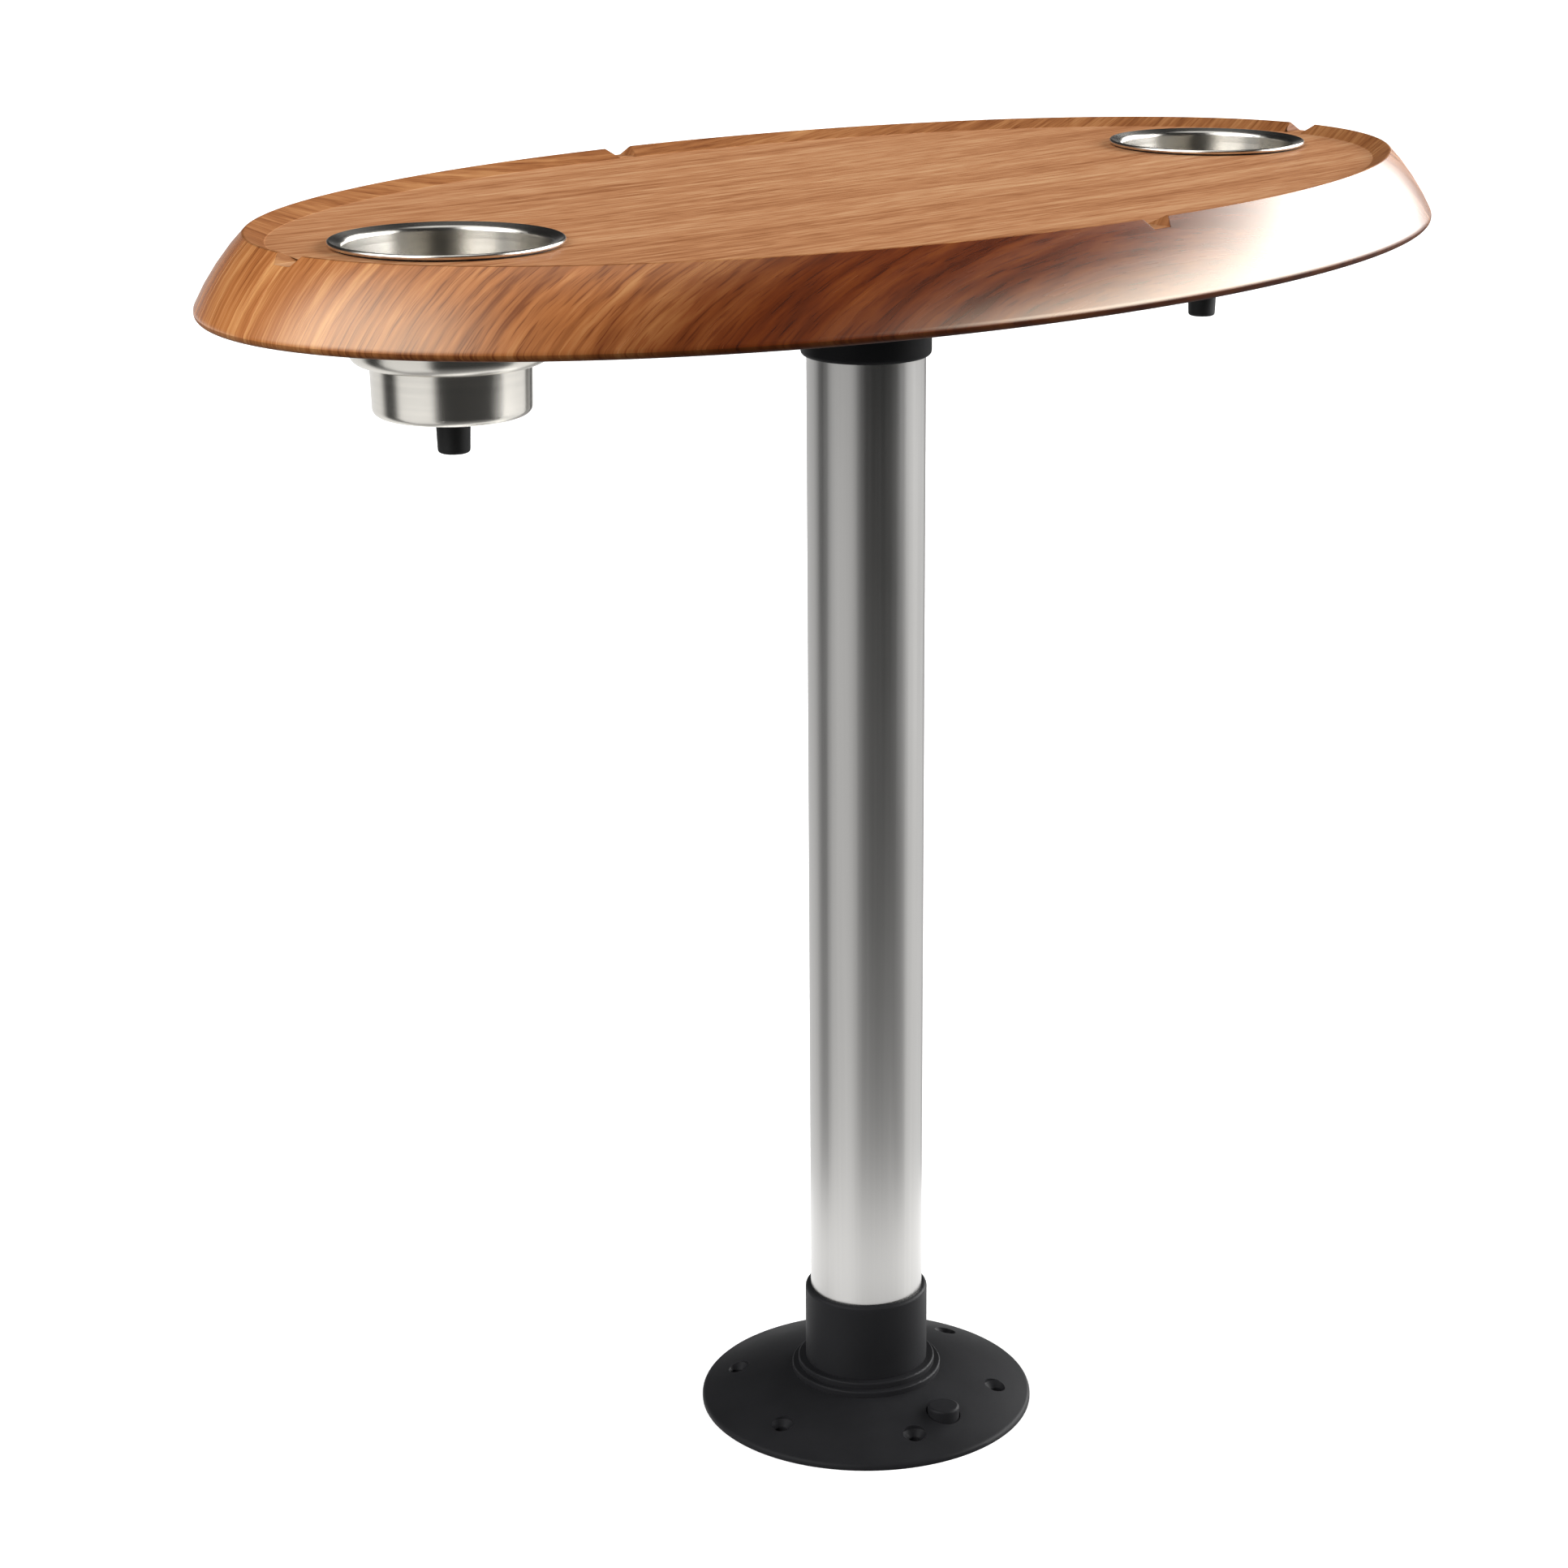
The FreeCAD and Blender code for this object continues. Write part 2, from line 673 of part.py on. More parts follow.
def socket_screw_places():
    """Places of the socket's screws, half way out on its flange."""
    reach = socket_radius + top_flange_width / 2
    places = []
    for index in range(socket_screw_count):
        turn = math.radians(FULL_TURN * index / socket_screw_count)
        places.append((reach * math.cos(turn), reach * math.sin(turn)))
    return places


def socket_screw_holes():
    """Room for the socket's screws in the flange, the panel and the block."""
    tool = screw_hole(socket_screw_diameter, socket_screw_head, socket_screw_length)
    return [moved(tool, x, y, panel_bottom - top_flange_thickness) for x, y in socket_screw_places()]


def mounting_block():
    """Wood block with round corners, which the socket is screwed to."""
    plate = bar(-block_length / 2, block_length / 2, block_width, panel_top, board_bottom)
    upright = [edge for edge in plate.Edges if edge.tangentAt(edge.FirstParameter).z != 0]
    return plate.makeFillet(block_corner_radius, upright).cut(socket_screw_holes())


def underside_panel():
    """Flat panel in the skirt's rebate, with holes for the cups and the screws."""
    plate = oval_plate(ledge_outset + ledge_width - slide_gap, panel_bottom, panel_top)
    holes = cup_holes(cup_hole_radius + drop_in_gap, panel_bottom, panel_top)
    return plate.cut(holes + panel_screw_holes() + socket_screw_holes())


def panel_screws():
    """Screws of the underside panel."""
    one = screw(panel_screw_diameter, panel_screw_head, panel_screw_length)
    return Part.Compound([moved(one, x, y, panel_bottom) for x, y in boss_places()])


def top_socket():
    """Flanged socket under the top, with a blind bore for the tube."""
    flange = socket_radius + top_flange_width
    flange_bottom = panel_bottom - top_flange_thickness
    collar_bottom = flange_bottom - top_socket_collar
    edge = (socket_radius - collar_edge_radius, collar_bottom + collar_edge_radius)
    fillet = (socket_radius + top_flange_fillet, flange_bottom - top_flange_fillet)
    rim = (flange - top_flange_edge_radius, flange_bottom + top_flange_edge_radius)
    outside = turned(
        (0, collar_bottom), [(edge[0], collar_bottom)], bend(edge, collar_edge_radius, -QUARTER_TURN, 0),
        [(socket_radius, fillet[1])], bend(fillet, top_flange_fillet, 2 * QUARTER_TURN, QUARTER_TURN),
        [(rim[0], flange_bottom)], bend(rim, top_flange_edge_radius, -QUARTER_TURN, 0),
        [(flange, panel_bottom)], [(0, panel_bottom)])
    bore = disc(socket_bore, collar_bottom - overrun, top_socket_ceiling)
    return outside.cut([bore] + socket_screw_holes())


def socket_screws():
    """Screws that hold the socket to the block."""
    one = screw(socket_screw_diameter, socket_screw_head, socket_screw_length)
    head = panel_bottom - top_flange_thickness
    return Part.Compound([moved(one, x, y, head) for x, y in socket_screw_places()])


def cup_body(inset, top):
    """Filled stepped cup, its wall drawn in by an inset, up to a height above the deck."""
    body = cup_radius - inset
    lower = cup_lower_diameter / 2 - inset
    step = inset - cup_step_depth
    floor = inset - cup_depth
    waist = body - cup_body_taper
    shoulder = shoulder_share * (waist - lower)
    heel = (lower - cup_taper - cup_heel_radius, floor + cup_heel_radius)
    return turned(
        (0, top), [(body, top)], [(body, -cup_flange_lap)], [(waist, step + shoulder)],
        bend((waist - shoulder, step + shoulder), shoulder, 0, -QUARTER_TURN),
        [(lower, step)], [(lower - cup_taper, heel[1])],
        bend(heel, cup_heel_radius, 0, -QUARTER_TURN), [(0, floor)])


def cup_flange():
    """Flange of a cup: rolled bead outside, throat inside."""
    wall = cup_radius - cup_wall
    bead = (cup_flange_radius - cup_bead_radius, gasket_thickness + cup_bead_radius)
    throat = (wall + cup_throat_radius, gasket_thickness + cup_flange_rise - cup_throat_radius)
    return turned(
        (cup_radius, gasket_thickness), [(bead[0], gasket_thickness)],
        bend(bead, cup_bead_radius, -QUARTER_TURN, cup_bead_turn),
        [on_arc(throat, cup_throat_radius, cup_throat_turn)],
        bend(throat, cup_throat_radius, cup_throat_turn, 2 * QUARTER_TURN),
        [(wall, -cup_flange_lap)], [(cup_radius, -cup_flange_lap)])


def cup_holder():
    """Drop-in steel cup with a drain nipple, about its own axis with the deck at height zero."""
    nipple_end = -cup_depth - nipple_length
    nipple = disc(nipple_diameter / 2, nipple_end, cup_wall - cup_depth)
    bore = disc(nipple_bore_diameter / 2, nipple_end - overrun, 0)
    inside = cup_body(cup_wall, gasket_thickness + overrun)
    wall = cup_body(0, -cup_flange_lap / 2).cut(inside)
    return wall.multiFuse([cup_flange(), nipple]).cut(bore).removeSplitter()


def cup_gasket():
    """Flat ring between a cup's flange and the deck."""
    outer = cup_flange_radius - 2 * cup_bead_radius
    return disc(outer, 0, gasket_thickness).cut(disc(cup_hole_radius, -overrun, gasket_thickness + overrun))


def drain_cap():
    """Rubber cap on a cup's drain nipple."""
    radius = drain_cap_diameter / 2
    end = -cup_depth - drain_cap_length
    low = radius - drain_cap_taper
    bore = nipple_diameter / 2 + running_fit
    edge = (low - drain_cap_edge_radius, end + drain_cap_edge_radius)
    outside = turned((0, end), [(edge[0], end)], bend(edge, drain_cap_edge_radius, -QUARTER_TURN, 0),
                     [(radius, -cup_depth)], [(0, -cup_depth)])
    return outside.cut(disc(bore, -cup_depth - nipple_length - slide_gap, overrun - cup_depth))


nodes = {
    "base_flange": base_flange(),
    "thrust_washer": thrust_washer(),
    "release_button": release_button(),
    "lock_bolt": lock_bolt(),
    "bolt_spring": bolt_spring(),
    "latch_cover": latch_cover(),
    "cover_screws": cover_screws(),
    "pedestal_tube": pedestal_tube(),
    "tube_foot_plug": tube_foot_plug(),
    "tube_top_plug": tube_top_plug(),
    "table_top": table_top(),
    "stiffening_board": stiffening_board(),
    "mounting_block": mounting_block(),
    "underside_panel": underside_panel(),
    "panel_screws": panel_screws(),
    "top_socket": top_socket(),
    "socket_screws": socket_screws(),
}
for side, end in (("left", -1), ("right", 1)):
    for name, make in (("cup_holder", cup_holder), ("cup_gasket", cup_gasket), ("drain_cap", drain_cap)):
        nodes[name + "_" + side] = moved(make(), end * cup_place, 0, deck_top)

os.makedirs("parts", exist_ok=True)
for name, shape in nodes.items():
    shape.exportStep("parts/" + name + ".step")
    print(name, "solids", len(shape.Solids), "valid", shape.isValid(), "volume", round(shape.Volume, 1))
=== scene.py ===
"""Looks of an oval pedestal table: wood-grain tray top, steel cups, satin post and black floor base.

Metres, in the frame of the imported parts: +X runs along the long axis of the top and +Z is up.
"""
import functools
import logging
import math
from dataclasses import dataclass, field
from enum import Enum, IntEnum
from typing import Mapping, Optional, Sequence, Union

import bmesh
import bpy
from bmesh.types import BMesh, BMEdge, BMVert
from mathutils import Matrix, Vector


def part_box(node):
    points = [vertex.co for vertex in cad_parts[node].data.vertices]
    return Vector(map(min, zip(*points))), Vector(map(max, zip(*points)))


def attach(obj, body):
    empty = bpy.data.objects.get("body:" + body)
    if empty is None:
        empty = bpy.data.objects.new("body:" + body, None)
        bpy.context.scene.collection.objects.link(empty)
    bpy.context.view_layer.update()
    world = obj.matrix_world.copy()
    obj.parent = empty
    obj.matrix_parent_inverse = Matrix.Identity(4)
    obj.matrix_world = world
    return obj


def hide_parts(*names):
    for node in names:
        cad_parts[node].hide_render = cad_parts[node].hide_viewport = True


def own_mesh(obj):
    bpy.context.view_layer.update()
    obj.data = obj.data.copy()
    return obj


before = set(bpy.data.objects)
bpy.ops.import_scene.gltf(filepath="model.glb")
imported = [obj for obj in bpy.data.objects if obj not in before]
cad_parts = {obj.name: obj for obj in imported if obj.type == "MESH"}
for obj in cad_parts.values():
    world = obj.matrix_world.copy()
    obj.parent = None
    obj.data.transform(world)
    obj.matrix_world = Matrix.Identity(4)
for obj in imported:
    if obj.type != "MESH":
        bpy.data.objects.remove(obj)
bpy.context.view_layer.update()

log = logging.getLogger("pedestal_table")

Colour = tuple[float, float, float]
Operand = Union["Socket", float, Sequence[float]]

ROUND_STEP = math.radians(7.0)
MERGE_GAP = 1e-6
NOISE_MIDDLE = 0.5
UPRIGHT_TURN = 0.25
WHITE = (1.0, 1.0, 1.0)
ALONG, ACROSS, UP = (1.0, 0.0, 0.0), (0.0, 1.0, 0.0), (0.0, 0.0, 1.0)
LEVEL = (1.0, 1.0, 0.0)


class Socket:
    """A shader socket that adds a Math node for each operator used on it."""

    def __init__(self, graph: "Graph", socket: bpy.types.NodeSocket) -> None:
        """Wraps one socket of a graph."""
        self.graph = graph
        self.socket = socket

    def __add__(self, other: Operand) -> "Socket":
        """Sum."""
        return self.graph.math("ADD", self, other)

    def __sub__(self, other: Operand) -> "Socket":
        """Difference."""
        return self.graph.math("SUBTRACT", self, other)

    def __rsub__(self, other: Operand) -> "Socket":
        """Difference from a number."""
        return self.graph.math("SUBTRACT", other, self)

    def __mul__(self, other: Operand) -> "Socket":
        """Product."""
        return self.graph.math("MULTIPLY", self, other)

    __radd__ = __add__
    __rmul__ = __mul__


class Graph:
    """The node tree of a material or of the studio's world."""

    def __init__(self, owner: Union[bpy.types.Material, bpy.types.World]) -> None:
        """Takes an owner's node tree and empties it.

        Args:
            owner: The material or the world.
        """
        owner.use_nodes = True
        self.tree = owner.node_tree
        self.tree.nodes.clear()

    def node(self, kind: str, settings: Mapping[str, object], sockets: Mapping[Union[str, int], Operand],
             output: Union[str, int] = 0) -> Optional[Socket]:
        """Adds one node.

        Args:
            kind: The node's type, without its ShaderNode prefix.
            settings: The node's own settings, with a ramp's stops under "stops".
            sockets: Values or links of its input sockets.
            output: The output socket that is handed back.

        Returns:
            That output, or None for a node without outputs.
        """
        node = self.tree.nodes.new("ShaderNode" + kind)
        for name, value in settings.items():
            if name == "stops":
                self.set_stops(node.color_ramp, value)
            else:
                setattr(node, name, value)
        for name, value in sockets.items():
            if isinstance(value, Socket):
                self.tree.links.new(value.socket, node.inputs[name])
            else:
                node.inputs[name].default_value = value
        return Socket(self, node.outputs[output]) if len(node.outputs) else None

    @staticmethod
    def set_stops(ramp: bpy.types.ColorRamp, stops: Sequence[tuple[float, Colour]]) -> None:
        """Gives a colour ramp its stops.

        Args:
            ramp: The ramp.
            stops: Their places and colours, from low to high.
        """
        while len(ramp.elements) < len(stops):
            ramp.elements.new(1.0)
        for element, (place, colour) in zip(ramp.elements, stops):
            element.position = place
            element.color = rgba(colour)

    def math(self, operation: str, *values: Operand) -> Socket:
        """Adds a Math node on one or two values."""
        return self.node("Math", {"operation": operation}, dict(enumerate(values)))

    def vector(self, operation: str, *values: Operand, output: str = "Vector") -> Socket:
        """Adds a Vector Math node on one to three vectors."""
        return self.node("VectorMath", {"operation": operation}, dict(enumerate(values)), output)

    def dot(self, first: Operand, second: Operand) -> Socket:
        """Adds a dot product, which is one coordinate where one of the vectors is an axis."""
        return self.vector("DOT_PRODUCT", first, second, output="Value")

    def noise(self, place: Operand, scale: float, detail: float, output: str = "Fac") -> Socket:
        """Adds a noise texture.

        Args:
            place: Where it is read.
            scale: Features per metre of that place.
            detail: Number of finer layers.
            output: "Fac" for a value about one half, "Color" for three of them.

        Returns:
            The noise.
        """
        return self.node("TexNoise", {}, {"Vector": place, "Scale": scale, "Detail": detail}, output)

    def ease(self, value: Operand, start: float, end: float) -> Socket:
        """Adds a smooth step from 0 at one value to 1 at another."""
        sockets = {"Value": value, "From Min": start, "From Max": end, "To Min": 0.0, "To Max": 1.0}
        return self.node("MapRange", {"interpolation_type": "SMOOTHSTEP"}, sockets, "Result")

    def ramp(self, value: Operand, stops: Sequence[tuple[float, Colour]]) -> Socket:
        """Adds a colour ramp."""
        return self.node("ValToRGB", {"stops": stops}, {"Fac": value}, "Color")

    def shade(self, colour: Operand, factor: Operand) -> Socket:
        """Multiplies a colour by a value."""
        return self.node("VectorMath", {"operation": "SCALE"}, {0: colour, "Scale": factor}, "Vector")

    def bump(self, height: Operand, distance: float) -> Socket:
        """Adds a bump for the shader's normal, of a height in metres."""
        return self.node("Bump", {}, {"Height": height, "Distance": distance}, "Normal")


def rgba(colour: Colour) -> tuple[float, float, float, float]:
    """Opaque colour for a colour socket."""
    return (*colour, 1.0)


@dataclass(frozen=True)
class Finish:
    """A finish: the constant values of its shader, and a method that varies it over the surface.

    Args:
        name: Name of its material.
        slot: The material slot that it stands for; not used.
        colour: Its colour.
        roughness: Its roughness.
        metallic: 1 for metal, and otherwise 0.
        specular: Strength of its reflections.
        sheen: Tint of its reflections.
        stretch: How far they are drawn out upwards on turned walls, as by lines brushed round them.
    """

    name: str
    slot: str
    colour: Colour
    roughness: float
    metallic: float = 0.0
    specular: float = 0.5
    sheen: Colour = WHITE
    stretch: float = 0.0

    @functools.cache
    def material(self) -> bpy.types.Material:
        """Makes the finish's material, once.

        Returns:
            The material.
        """
        material = bpy.data.materials.new(self.name)
        graph = Graph(material)
        place = graph.node("TexCoord", {}, {}, "Object")
        sockets: dict[str, Operand] = {
            "Base Color": rgba(self.colour), "Roughness": self.roughness, "Metallic": self.metallic,
            "Specular IOR Level": self.specular, "Specular Tint": rgba(self.sheen),
            "Anisotropic": self.stretch, "Anisotropic Rotation": UPRIGHT_TURN,
        }
        sockets.update(self.vary(graph, place))
        shader = graph.node("BsdfPrincipled", {}, sockets, "BSDF")
        graph.node("OutputMaterial", {}, {"Surface": shader})
        return material

    def vary(self, graph: Graph, place: Socket) -> dict[str, Operand]:
        """Values that change over the surface.

        Args:
            graph: The material's graph.
            place: Object coordinates.

        Returns:
            What feeds the shader's sockets, by their names.
        """
        raise NotImplementedError


@dataclass(frozen=True)
class Moulding(Finish):
    """Moulded plastic or rubber with a fine spark-eroded grain.

    Args:
        grain_scale: Grains per metre.
        grain_height: Their height.
        cloud_scale: Clouds per metre.
        cloud_depth: How far the clouds change the roughness.
        cloud_tone: How much more they change the colour.
    """

    grain_scale: float = 1500.0
    grain_height: float = 0.00003
    cloud_scale: float = 28.0
    cloud_depth: float = 0.3
    cloud_tone: float = 2.0

    def vary(self, graph: Graph, place: Socket) -> dict[str, Operand]:
        """Clouded colour and roughness, with a bumpy grain.

        Args:
            graph: The material's graph.
            place: Object coordinates.

        Returns:
            What feeds the shader's sockets, by their names.
        """
        cloud = graph.noise(place, self.cloud_scale, detail=3.0) - NOISE_MIDDLE
        grain = graph.noise(place, self.grain_scale, detail=1.0)
        return {
            "Base Color": graph.shade(self.colour, 1.0 + cloud * self.cloud_depth * self.cloud_tone),
            "Roughness": self.roughness + cloud * self.cloud_depth,
            "Normal": graph.bump(grain, self.grain_height),
        }


@dataclass(frozen=True)
class DrawnMetal(Finish):
    """Metal with fine lines drawn along one way.

    Args:
        lines: Lines per metre along each axis.
        line_depth: How far they change the roughness.
        line_height: Their height.
        line_tone: How far they change the brightness.
        stain_scale: Faint stains per metre.
        stain_depth: How far they change the roughness.
    """

    lines: tuple[float, float, float] = (420.0, 420.0, 6.0)
    line_depth: float = 0.12
    line_height: float = 0.00001
    line_tone: float = 0.16
    stain_scale: float = 9.0
    stain_depth: float = 0.06

    def vary(self, graph: Graph, place: Socket) -> dict[str, Operand]:
        """Drawn lines in the roughness, the brightness and the surface.

        Args:
            graph: The material's graph.
            place: Object coordinates.

        Returns:
            What feeds the shader's sockets, by their names.
        """
        line = graph.noise(graph.vector("MULTIPLY", place, self.lines), scale=1.0, detail=3.0)
        swing = line - NOISE_MIDDLE
        stain = graph.noise(place, self.stain_scale, detail=2.0) - NOISE_MIDDLE
        return {
            "Base Color": graph.shade(self.colour, 1.0 + swing * self.line_tone),
            "Roughness": self.roughness + swing * self.line_depth + stain * self.stain_depth,
            "Normal": graph.bump(line, self.line_height),
        }


@dataclass(frozen=True)
class CupMetal(DrawnMetal):
    """Metal brushed round the cups' upright axes, with painted shade that darkens the inside walls.

    Args:
        painted_inner_shade: Share of the brightness that painted shade takes off the inside walls.
        painted_shade_width: Distance from the axis, times how far a wall faces it, at which that painted
            shade is full.
    """

    lines: tuple[float, float, float] = (700.0, 0.0, 500.0)
    painted_inner_shade: float = 0.3
    painted_shade_width: float = 0.01

    def vary(self, graph: Graph, place: Socket) -> dict[str, Operand]:
        """Brushed rings, on the distance from the nearer cup's axis and the height, with painted shade
        inside.

        Args:
            graph: The material's graph.
            place: Object coordinates.

        Returns:
            What feeds the shader's sockets, by their names.
        """
        low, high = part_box("cup_holder_right")
        axis = graph.vector("MULTIPLY", graph.vector("SIGN", place), ((low.x + high.x) / 2, 0.0, 0.0))
        outwards = graph.vector("MULTIPLY", graph.vector("SUBTRACT", place, axis), LEVEL)
        away = graph.vector("LENGTH", outwards, output="Value")
        height = graph.dot(place, UP)
        turned = graph.node("CombineXYZ", {}, {"X": away, "Z": height}, "Vector")
        # Painted shade: walls that face the cup's axis get a darker colour.
        normal = graph.node("TexCoord", {}, {}, "Normal")
        facing = graph.dot(normal, outwards)
        inside = graph.ease(0.0 - facing, 0.0, self.painted_shade_width)
        values = super().vary(graph, turned)
        values["Base Color"] = graph.shade(values["Base Color"], 1.0 - inside * self.painted_inner_shade)
        return values


@dataclass(frozen=True)
class WoodFilm(Finish):
    """Printed wood grain under a satin coat, laid straight down on the top as one sheet along its length,
    with painted shade that can darken the long sides.

    Args:
        dark: Colour of the darkest grain.
        pale: Colour of the palest grain.
        contrast: Strength of the grain.
        bands: Broad bands per metre along each axis.
        streaks: Streaks per metre.
        threads: Fine threads per metre.
        pores: Short pores per metre.
        pore_range: Noise at which a pore starts and at which it is full.
        band_depth: Share of the bands in the tone.
        streak_depth: Share of the streaks.
        thread_depth: Share of the threads.
        pore_depth: Share of the pores, which only darken.
        wander: How far the grain's edges wander.
        wander_scale: Wanderings per metre.
        sway: How far the grain sways over the whole top.
        sway_scale: Sways per metre.
        bow: How strongly the grain bows towards the ends.
        middle: Tone that the grain swings about.
        tones: Tones of the dark, the middle and the pale colour.
        painted_side_shade: Share of each colour that painted shade takes off the long sides.
        painted_shade_start: Distance from the long axis at which that painted shade starts.
        painted_shade_end: Distance at which the painted shade is full.
        gloss_depth: How far the streaks change the roughness.
        thread_height: Height of the threads.
    """

    dark: Colour = (0.17, 0.052, 0.015)
    pale: Colour = (0.55, 0.26, 0.10)
    contrast: float = 1.0
    bands: tuple[float, float, float] = (1.5, 26.0, 0.0)
    streaks: tuple[float, float, float] = (6.0, 165.0, 0.0)
    threads: tuple[float, float, float] = (36.0, 420.0, 0.0)
    pores: tuple[float, float, float] = (60.0, 1300.0, 0.0)
    pore_range: tuple[float, float] = (0.54, 0.68)
    band_depth: float = 0.7
    streak_depth: float = 0.8
    thread_depth: float = 0.8
    pore_depth: float = 0.18
    wander: float = 0.0014
    wander_scale: float = 32.0
    sway: float = 0.034
    sway_scale: float = 1.7
    bow: float = 1.0
    middle: float = 0.52
    tones: tuple[float, float, float] = (0.2, 0.5, 0.8)
    painted_side_shade: Colour = (0.0, 0.0, 0.0)
    painted_shade_start: float = 0.1
    painted_shade_end: float = 0.165
    gloss_depth: float = 0.12
    thread_height: float = 0.00002

    def vary(self, graph: Graph, place: Socket) -> dict[str, Operand]:
        """Bands, streaks, threads and pores of grain, with their edges wandering, and painted shade on the
        long sides.

        Args:
            graph: The material's graph.
            place: Object coordinates.

        Returns:
            What feeds the shader's sockets, by their names.
        """
        sheet = graph.vector("MULTIPLY", place, LEVEL)
        along = graph.dot(place, ALONG)
        square = along * along
        film = graph.vector("SUBTRACT", sheet, graph.shade((0.0, self.bow, 0.0), square * square))
        for size, scale in ((self.wander, self.wander_scale), (self.sway, self.sway_scale)):
            drift = graph.noise(sheet, scale, detail=2.0, output="Color")
            film = graph.vector("MULTIPLY_ADD", drift, (0.0, size, 0.0), film)
        prints = ((self.bands, 2.0), (self.streaks, 4.0), (self.threads, 4.0), (self.pores, 1.0))
        band, streak, thread, pore = (
            graph.noise(graph.vector("MULTIPLY", film, counts), scale=1.0, detail=detail)
            for counts, detail in prints)
        swing = streak - NOISE_MIDDLE
        grain = (band - NOISE_MIDDLE) * self.band_depth + swing * self.streak_depth
        grain = grain + (thread - NOISE_MIDDLE) * self.thread_depth
        grain = grain - graph.ease(pore, *self.pore_range) * self.pore_depth
        tone = self.middle + grain * self.contrast
        colour = graph.ramp(tone, tuple(zip(self.tones, (self.dark, self.colour, self.pale))))
        # Painted shade: the colour darkens away from the long axis, towards the long sides.
        aside = graph.math("ABSOLUTE", graph.dot(place, ACROSS))
        side = graph.ease(aside, self.painted_shade_start, self.painted_shade_end)
        unshaded_share = graph.vector("SUBTRACT", WHITE, graph.shade(self.painted_side_shade, side))
        return {
            "Base Color": graph.vector("MULTIPLY", colour, unshaded_share),
            "Roughness": self.roughness + swing * self.gloss_depth,
            "Normal": graph.bump(thread, self.thread_height),
        }


@dataclass(frozen=True)
class Plywood(Finish):
    """Birch plywood: veneers one above another, with a soft grain.

    Args:
        grains: Grains per metre along and across the faces, and veneers per metre of height.
        grain_tone: How far they change the brightness.
        grain_depth: How far they change the roughness.
        grain_height: Their height.
    """

    grains: tuple[float, float, float] = (5.0, 160.0, 330.0)
    grain_tone: float = 0.9
    grain_depth: float = 0.2
    grain_height: float = 0.00008

    def vary(self, graph: Graph, place: Socket) -> dict[str, Operand]:
        """Veneer lines on the edges and grain on the faces.

        Args:
            graph: The material's graph.
            place: Object coordinates.

        Returns:
            What feeds the shader's sockets, by their names.
        """
        grain = graph.noise(graph.vector("MULTIPLY", place, self.grains), scale=1.0, detail=4.0)
        swing = grain - NOISE_MIDDLE
        return {
            "Base Color": graph.shade(self.colour, 1.0 + swing * self.grain_tone),
            "Roughness": self.roughness + swing * self.grain_depth,
            "Normal": graph.bump(grain, self.grain_height),
        }


class Finishes(Enum):
    """The finishes of the table."""

    DECK = WoodFilm("teak_film_deck", "wood_grain_shell", (0.328, 0.151, 0.068), 0.5, specular=0.03,
                    dark=(0.193, 0.07, 0.025), pale=(0.426, 0.245, 0.128), contrast=0.95)
    # Painted shade darkens the skirt's long sides.
    SKIRT = WoodFilm("teak_film_skirt", "wood_grain_shell", (0.375, 0.132, 0.038), 0.26, specular=0.8,
                     sheen=(1.0, 0.87, 0.68), painted_side_shade=(0.76, 0.89, 0.97),
                     dark=(0.165, 0.043, 0.01), pale=(0.6, 0.295, 0.11))
    # Painted shade darkens the lip's long sides too.
    LIP = WoodFilm("teak_film_lip", "wood_grain_shell", (0.22, 0.078, 0.022), 0.5, specular=0.05,
                   painted_side_shade=(0.76, 0.84, 0.9), dark=(0.1, 0.026, 0.006), pale=(0.35, 0.17, 0.064))
    RIM = WoodFilm("teak_film_rim", "wood_grain_shell", (0.222, 0.085, 0.028), 0.46, specular=0.1,
                   dark=(0.12, 0.036, 0.009), pale=(0.33, 0.16, 0.063))
    STEEL = CupMetal("brushed_stainless_cup", "brushed_stainless", (0.8, 0.77, 0.71), 0.26, 1.0,
                     stretch=0.8, line_depth=0.02, line_height=0.0)
    ALUMINIUM = DrawnMetal("satin_aluminium_tube", "satin_aluminium", (0.46, 0.454, 0.443), 0.32, 1.0,
                           lines=(520.0, 520.0, 3.0), line_depth=0.1)
    PLATED = DrawnMetal("zinc_plated_steel", "plated_steel", (0.62, 0.61, 0.58), 0.32, 1.0,
                        lines=(900.0, 900.0, 900.0))
    BLACK = Moulding("black_moulded_plastic", "black_moulding", (0.0118, 0.0119, 0.013), 0.5, specular=0.07)
    RUBBER = Moulding("black_rubber_cap", "black_rubber", (0.006, 0.006, 0.006), 0.62, specular=0.3,
                      grain_scale=2400.0)
    PANEL = Moulding("grained_black_sheet", "panel_plastic", (0.03, 0.029, 0.028), 0.55, grain_scale=700.0,
                     grain_height=0.00012)
    ACETAL = Moulding("pale_acetal_ring", "pale_acetal", (0.72, 0.71, 0.66), 0.4, cloud_depth=0.06)
    PLY = Plywood("birch_plywood", "plywood", (0.58, 0.42, 0.26), 0.6)


@dataclass(frozen=True)
class Corner:
    """A corner of a turned outline.

    Args:
        radius: Its distance from the axis.
        height: Its height.
        rounding: The radius that rounds it.
    """

    radius: float
    height: float
    rounding: float = 0.0


